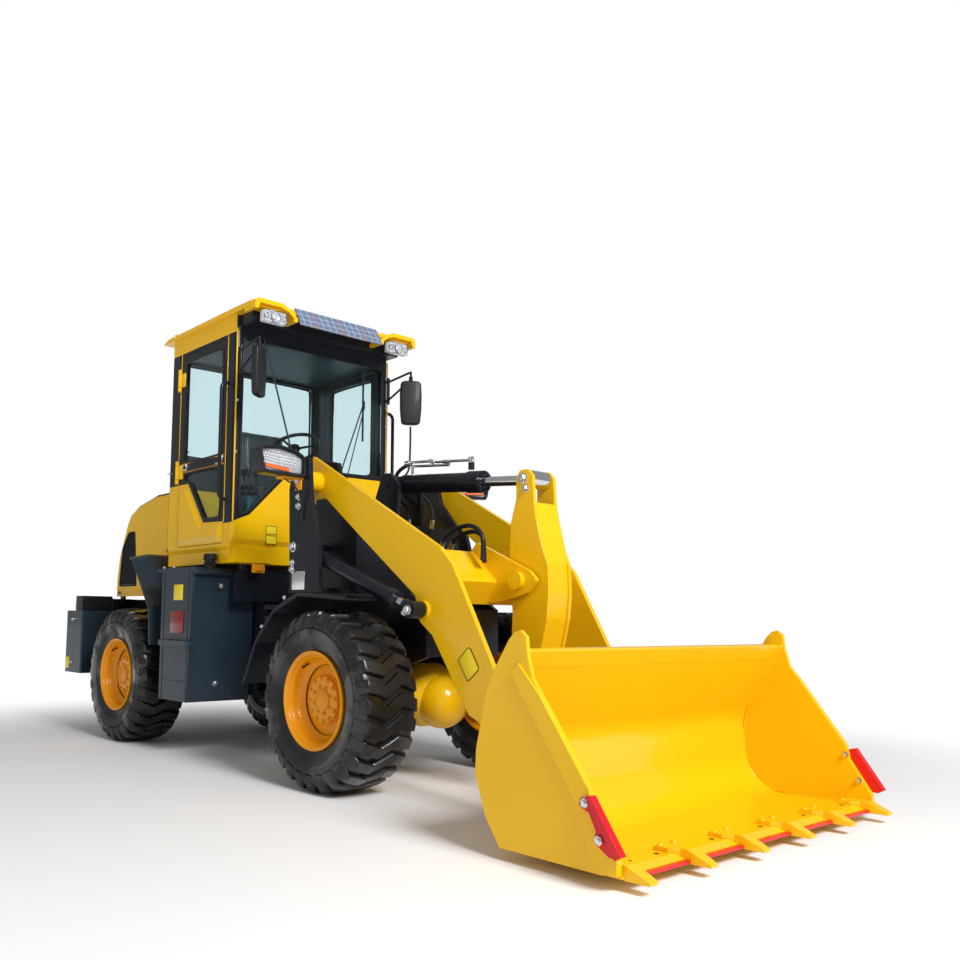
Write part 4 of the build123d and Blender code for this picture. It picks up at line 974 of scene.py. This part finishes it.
def makeMirror(spec, side, sign):
    x, y, z, postX, postY = spec["x"], sign * spec["y"], spec["z"], spec["postX"], sign * spec["postY"]
    turn = Matrix.Translation(at(x, y, z)) @ Matrix.Rotation(math.radians(spec["turn"] * sign), 4, "Z")
    glass = bmesh.new()
    wide, tall = spec["glassShare"]
    corners = [[glass.verts.new((depth, a * wide / 1000, b * tall / 1000)) for a, b in spec["glass"]]
               for depth in spec["glassDepths"]]
    for row in corners:
        glass.faces.new(row)
    for k in range(len(spec["glass"])):
        j = (k + 1) % len(spec["glass"])
        glass.faces.new((corners[0][k], corners[0][j], corners[1][j], corners[1][k]))
    bmesh.ops.recalc_face_normals(glass, faces=glass.faces)
    bmesh.ops.transform(glass, matrix=turn, verts=glass.verts)
    setPiece("mirrorGlass_" + side, glass, "mirrorGlass", "rear_frame")
    shell = made(prism, (spec["shell"], "x", 297, 343, 15, 4))
    bmesh.ops.transform(shell, matrix=turn, verts=shell.verts)
    arms = [pipe("arm", points, radius, straight=True) for radius, points in (
        (8, ((postX, postY, 2629), (x, y, 2659), (x, y, 2650), (x, y, 2533))),
        (8, ((postX, postY, 2493), (x, y, 2603))), (12, ((postX, postY, 2463), (postX, postY, 2659))))]
    feet = made(sideBox, *((sign, (-140, 622, low), (postX, 638, low + 16), 3) for low in spec["footRises"]))
    setPiece("mirrorShell_" + side, [meshFrom("shell", shell), meshFrom("feet", feet), *arms], "black_plastic",
             "rear_frame", "mirrors")
    ring = ((0.012, -0.014), (0.014, -0.012), (0.014, 0.012), (0.012, 0.014))
    setPiece("mirrorClamp_" + side, made(lathe, *((ring, at(x, y, z + rise), up, 20) for rise in (169, 179))),
             "black_plastic", "rear_frame")


# Wiper, the pole across the windscreen and the left mirror's mast
wiper = {
    "boxes": (((-134, 400, 2160), (-128, 416, 2690), 2), ((-139, 405, 2165), (-133, 411, 2685), 1),
              ((-130, 398, 2395), (-117, 418, 2455), 4)),
    "arms": ((5, ((-119, 195, 1868), (-118, 220, 1950), (-118, 400, 2425))),
             (4, ((-121, 262, 1868), (-120, 280, 1940), (-120, 412, 2405)))),
    "pole": ((-122, -450, 2740), (-114, -395, 2560), (-96, -208, 1940)),
    "mast": ((124, 640, 2262), (124, 640, 2010), (100, 640, 1925), (20, 640, 1900), (-138, 640, 1900)),
}


def makeWiper(spec):
    blade = made(box, *spec["boxes"])
    lathe(blade, [(0, -0.012), (0.02, -0.012), (0.02, 0.014), (0.012, 0.022), (0, 0.022)],
          at(-132, 195, 1868), ahead, 24)
    lathe(blade, [(0, -0.012), (0.014, -0.012), (0.014, 0.012), (0, 0.016)], at(-132, 262, 1868), ahead, 20)
    setPiece("wiperBlade", blade, "black_plastic", "rear_frame")
    setPiece("wiperArms", [pipe("arm", points, radius, straight=True) for radius, points in spec["arms"]],
             "black_plastic", "rear_frame", "wiper")
    setPiece("screenPole", [pipe("pole", spec["pole"], 6, straight=True)], "slate_paint", "rear_frame")
    setPiece("mirrorMast", pipe("mast", spec["mast"], 7), "black_plastic", "rear_frame")


for side, sign in sides:
    makeHeadLamp(headLamp, side, sign)
    makeWorkLampBowl(side, sign)
    makeMirror(mirrors, side, sign)
makeWiper(wiper)
print("cab and lamps are dressed")


# Steering wheel
steering = {
    "centre": (-405, 0, 2090), "foot": (-300, 0, 1880), "radius": 0.18, "rim": 0.0125,
    "spokeTurns": (90, 210, 330), "spokeWays": (0.03, 0.176), "spoke": 9, "knobWay": (0.5, 0.8),
}


def torus(shape, centre, axis, radius, thickness, sides=64, facets=12):
    axis = Vector(axis).normalized()
    side = axis.orthogonal().normalized()
    across = axis.cross(side)
    rings = []
    for k in range(sides):
        turn = 2 * math.pi * k / sides
        out = side * math.cos(turn) + across * math.sin(turn)
        rings.append([shape.verts.new(
            centre + out * (radius + thickness * math.cos(b)) + axis * thickness * math.sin(b))
            for b in (2 * math.pi * j / facets for j in range(facets))])
    for k in range(sides):
        for j in range(facets):
            shape.faces.new((rings[k][j], rings[(k + 1) % sides][j],
                             rings[(k + 1) % sides][(j + 1) % facets], rings[k][(j + 1) % facets]))


def makeSteeringWheel(spec):
    centre, foot, radius = at(*spec["centre"]), at(*spec["foot"]), spec["radius"]
    axis = (centre - foot).normalized()
    shape = made(torus, (centre, axis, radius, spec["rim"]))
    lathe(shape, [(0.046, -0.01), (0.046, 0.012), (0.036, 0.022), (0, 0.026)], centre, axis, 32)
    side = Vector(left)
    high = axis.cross(side)
    spokes = []
    for turn in spec["spokeTurns"]:
        out = side * math.cos(math.radians(turn)) + high * math.sin(math.radians(turn))
        ends = [millimetres(centre + out * way) for way in spec["spokeWays"]]
        spokes.append(pipe("spoke", ends, spec["spoke"], straight=True))
    aside, forward = spec["knobWay"]
    lathe(shape, [(0, 0), (0.01, 0.006), (0.01, 0.03), (0.022, 0.036), (0.026, 0.052), (0.018, 0.066), (0, 0.07)],
          centre + (side * aside + high * forward).normalized() * radius, axis, 20)
    bmesh.ops.recalc_face_normals(shape, faces=shape.faces)
    setPiece("ringWheel", [meshFrom("rim", shape), *spokes], "black_plastic", "rear_frame", "steering_wheel")


# Console with its dials and levers
console = {
    "pod": ((-338, 1890), (-252, 1966), (-172, 1862), (-172, 1700), (-338, 1700)), "podHalf": 200,
    "stand": ((-420, -520, 1279), (-175, -300, 1700)),
    "dials": (-130, -50, 50, 130), "levers": ((-360, -430), (-300, -430), (-300, -370)),
}


def makeConsole(spec):
    shape = made(prism, (spec["pod"], "y", -spec["podHalf"], spec["podHalf"], 14, 3))
    box(shape, *spec["stand"], 18, 3)
    lathe(shape, [(0.034, 0), (0.034, 0.02), (0.026, 0.05), (0.02, 0.08)], at(-300, 0, 1880), (-0.45, 0, 0.9), 28)
    setPiece("dashPod", shape, "lining", "rear_frame")
    dial = ((0.03, 0), (0.033, 0.003), (0.033, 0.006), (0.028, 0.007), (0.0275, 0.003), (0, 0.003))
    setPiece("dashDials", made(lathe, *((dial, at(-296, y, 1928), (-0.66, 0, 0.75), 28) for y in spec["dials"])),
             "chrome", "rear_frame")
    levers = []
    for x, y in spec["levers"]:
        levers.append(pipe("lever", [(x, y, 1695), (x + 6, y, 1760), (x - 10, y, 1850)], 6))
        knob = ((0, -0.02), (0.014, -0.016), (0.019, 0.004), (0.017, 0.03), (0.008, 0.04), (0, 0.042))
        levers.append(meshFrom("knob", made(lathe, (knob, at(x - 12, y, 1860), (-0.12, 0, 1), 20))))
    setPiece("levers", levers, "black_plastic", "rear_frame")


# Seat: padded cushion and back, bellows base and arm rests
seat = {
    "cushion": ((-896, -236, 1703), (-446, 236, 1806), 46), "waist": 1750,
    "backFoot": (-850, 1800), "backHead": (-905, 2285), "backWall": 86, "backHalf": 226,
    "swell": 0.014, "voxel": 0.009, "pressure": 4, "frames": 20,
    "channels": (-0.13, 0.13), "channelDepth": 0.011, "channelWidth": 0.009,
}


def swollen(name, mesh, spec):      # a padded form: remeshed, blown up a little as cloth, its moves capped
    worker = bpy.data.objects.new(name, mesh)
    bpy.context.collection.objects.link(worker)
    remesh = worker.modifiers.new("remesh", "REMESH")
    remesh.mode = "VOXEL"
    remesh.voxel_size = spec["voxel"]
    bpy.context.view_layer.update()
    mesh = bpy.data.meshes.new_from_object(worker.evaluated_get(bpy.context.evaluated_depsgraph_get()))
    worker.modifiers.clear()
    worker.data = mesh
    still = [vertex.co.copy() for vertex in mesh.vertices]
    cloth = worker.modifiers.new("cloth", "CLOTH")
    cloth.settings.use_pressure = True
    cloth.settings.uniform_pressure_force = spec["pressure"]
    cloth.settings.effector_weights.gravity = 0
    cloth.settings.quality = 4
    cloth.collision_settings.use_collision = False
    cloth.collision_settings.use_self_collision = False
    cloth.point_cache.frame_start = 1
    cloth.point_cache.frame_end = spec["frames"]
    for step in range(1, spec["frames"] + 1):
        bpy.context.scene.frame_set(step)
    mesh = bpy.data.meshes.new_from_object(worker.evaluated_get(bpy.context.evaluated_depsgraph_get()))
    bpy.context.scene.frame_set(1)
    bpy.data.objects.remove(worker)
    for vertex, place in zip(mesh.vertices, still):
        move = vertex.co - place
        if move.length > spec["swell"]:
            vertex.co = place + move * (spec["swell"] / move.length)
    return mesh


def channelled(mesh, inward, spec):      # sewn channels pressed into the padding, side by side
    for vertex in mesh.vertices:
        push, y = inward(vertex.co), vertex.co.y
        for offset in spec["channels"]:
            press = math.exp(-((y - offset) / spec["channelWidth"]) ** 2)
            vertex.co += push * spec["channelDepth"] * press
    return mesh


def makeSeat(spec):
    shape, waist = made(box, (*spec["cushion"], 4)), at(0, 0, spec["waist"]).z
    cushion = channelled(swollen("cushion", meshFrom("cushion", shape), spec),
                         lambda co: Vector((0, 0, -1 if co.z > waist else 0)), spec)
    (footX, footZ), (headX, headZ) = spec["backFoot"], spec["backHead"]
    half = spec["backWall"] / 2
    outline = ((footX - half, footZ), (footX + half, footZ), (headX + half, headZ - 20),
               (headX + half / 2, headZ), (headX - half, headZ))
    shape = made(prism, (outline, "y", -spec["backHalf"], spec["backHalf"], 36, 4))
    face = at(footX, 0, 0).x - 0.06
    back = channelled(swollen("backrest", meshFrom("backrest", shape), spec),
                      lambda co: Vector((-1 if co.x > face else 0, 0, 0)), spec)
    for name, mesh in (("seatCushion", cushion), ("seatBack", back)):
        piece = setPiece(name, mesh, "seatVinyl", "rear_frame", "driver_seat", sharp=0)
        finer = piece.modifiers.new("finer", "SUBSURF")
        finer.levels = finer.render_levels = 1
    base = bmesh.new()
    box(base, (-840, -180, 1280), (-500, 180, 1320), 8)
    for k in range(6):      # bellows
        inset = 10 + 14 * (k % 2)
        box(base, (-830 + inset, -172 + inset, 1322 + k * 52), (-510 - inset, 172 - inset, 1372 + k * 52), 16, 3)
    box(base, (-880, -215, 1640), (-470, 215, 1700), 14, 3)
    box(base, (-925, -120, 1700), (-880, 120, 2080), 12, 3)
    for y in (-262, 232):      # arm rests
        box(base, (-800, y, 1800), (-560, y + 30, 1836), 12, 3)
        box(base, (-800, y + 4, 1700), (-764, y + 26, 1810), 6)
    setPiece("seatBase", base, "black_plastic", "rear_frame")


makeSteeringWheel(steering)
makeConsole(console)
makeSeat(seat)
print("seat and controls are in")


# Filler caps and the studs on the tanks' steps
tank = {"capX": -352, "capY": 678, "capZ": 1208, "ribs": 24, "ribCircle": 35.5, "ribZ": 1226,
        "studRows": 2, "studs": 13, "studPitch": 26, "studSize": 0.012}


def makeTankDetail(spec, side, sign):
    cap, rib, stud = bmesh.new(), bmesh.new(), bmesh.new()
    x, y = spec["capX"], sign * spec["capY"]
    lathe(cap, [(0.0345, 0), (0.0345, 0.058), (0.044, 0.06), (0.044, 0.074), (0.0415, 0.078),
                (0.0415, 0.096), (0.0385, 0.0985), (0, 0.0985)], at(x, y, spec["capZ"]), up, 48)
    lathe(rib, [(0, 0), (0.0035, 0), (0.0035, 0.028), (0, 0.028)], sides=6)
    places = [((x + spec["ribCircle"] * math.cos(t), y + spec["ribCircle"] * math.sin(t), spec["ribZ"]), up, 1.0)
              for t in (2 * math.pi * k / spec["ribs"] for k in range(spec["ribs"]))]
    setPiece("fillerCap_" + side, [meshFrom("cap", cap), setOut(
        "capRibs", meshFrom("rib", rib), places, "black_plastic")], "black_plastic", "rear_frame")
    lathe(stud, [(0.5, 0), (0.32, 0.22), (0, 0.25)], sides=8)
    pitch = spec["studPitch"]
    places = [((-700 + pitch * k + pitch / 2 * (row % 2), sign * (812 + row * 11), 718), up, spec["studSize"])
              for row in range(spec["studRows"]) for k in range(spec["studs"])]
    setPiece("stepStuds_" + side, setOut("stepStuds", meshFrom("stud", stud), places, "slate_paint"),
             "slate_paint", "rear_frame")


# Hood: mesh in the side grilles and the slats at the back
hood = {
    "grille": ((-1962, 1568), (-2078, 1568), (-2180, 1438), (-2220, 1134), (-1904, 1134)),
    "across": 455, "cellRows": 27, "cellColumns": 22, "cellPitch": (17, 16), "cellSize": 0.019,
    "slats": 8, "slatStep": (0.0073, 0.032), "slat": ((-2250, -340, 1230), (-2240, 340, 1246)),
}


def inside(outline, x, z):
    turns = 0
    for (x0, z0), (x1, z1) in zip(outline, outline[1:] + outline[:1]):
        if (z0 > z) != (z1 > z) and x < (x1 - x0) * (z - z0) / (z1 - z0) + x0:
            turns += 1
    return turns % 2


def makeGrille(spec, side, sign):
    cell = made(lathe, (((0.56, 0), (0.56, 0.14), (0.46, 0.14), (0.44, 0)), (0, 0, 0), up, 6))
    across, along = spec["cellPitch"]
    y = sign * spec["across"]
    places = []
    for row in range(spec["cellRows"]):
        for column in range(spec["cellColumns"]):
            x, z = -2215 + column * across + (row % 2) * across / 2, 1142 + row * along
            if all(inside(spec["grille"], x + dx, z + dz) for dx, dz in ((9, 0), (-9, 0), (0, 9), (0, -9))):
                places.append(((x, y, z), (0, sign, 0), spec["cellSize"]))
    setPiece("grilleCells_" + side, setOut("grilleCells", meshFrom("cell", cell), places, "black_paint"),
             "black_paint", "hood")
    rim = [(x, y, z) for x, z in rounded(spec["grille"], 16)]
    setPiece("grilleRim_" + side, pipe("grilleRim", rim, 5, closed=True), "sealRubber", "hood")


def makeSlats(spec):
    slat = meshFrom("slat", made(box, (*spec["slat"], 2)))
    rows = []
    forward, rise = spec["slatStep"]
    for k in range(spec["slats"]):
        rows.append(slat.copy())
        rows[-1].transform(Matrix.Translation((-0.0115 + forward * k, 0, rise * k)))
    setPiece("rearSlats", rows, "black_paint", "hood")


# Labels without print, plates, brackets and the cab's headlining
plates = {      # finish, body, boxes as in sideBoxes, across measured from the middle
    "towerPlate": ("boltZinc", "front_frame", (((505, -621, 1062), (632, -618, 1168), 0.8),)),
    "headLining": ("lining", "rear_frame", (((-1022, -642, 2749), (-148, 642, 2755)),)),
    "panelBrackets": ("orange_yellow_paint", "rear_frame", tuple(spec for y in (-430, 430) for spec in (
        ((-170, y - 45, 1186), (-146, y + 45, 1243), 4), ((-160, y - 30, 1200), (-120, y + 30, 1214), 3)))),
}
boomTag = ((1735, 712), (1801, 610), (1877, 676), (1811, 778))
panelSeams = (((-141, -645, 1400), (-141, 645, 1400)), ((-141, 345, 1245), (-141, 345, 1392)),
              ((-141, -345, 1245), (-141, -345, 1392)))


def makePlates():
    for name, (finish, body, boxes) in plates.items():
        setPiece(name, made(box, *boxes), finish, body)
    for name, finish, inset, back, front, bevel in (
            ("panelLabel", "labelYellow", 4, -141, -138, 0.5),
            ("panelLabelEdge", "black_plastic", 0, -142, -138.6, 0.8)):
        setPiece(name, made(prism, *((
            [(-390 + inset, low + inset), (-302 - inset, low + inset), (-302 - inset, high - inset),
             (-390 + inset, high - inset)], "x", back, front, bevel) for low, high in ((1376, 1434), (1440, 1498)))),
            finish, "rear_frame")
    eye = made(torus, (at(-930, -672, 2893), ahead, 0.017, 0.005, 28, 10))
    bmesh.ops.recalc_face_normals(eye, faces=eye.faces)
    setPiece("liftingEye", eye, "yellow_paint", "rear_frame")
    setPiece("boomLabel", made(prism, (boomTag, "y", -486.5, -483, 0.8)), "labelYellow", "boom")
    rim = pipe("rim", [(x, -486, z) for x, z in rounded(boomTag, 6)], 2.2, closed=True)
    setPiece("boomLabelEdge", rim, "black_plastic", "boom")
    setPiece("panelSeams", [pipe("seam", points, 2.5, straight=True) for points in panelSeams],
             "yellow_paint", "rear_frame")


for side, sign in sides:
    makeTankDetail(tank, side, sign)
    makeGrille(hood, side, sign)
makeSlats(hood)
makePlates()
print("body details are on")
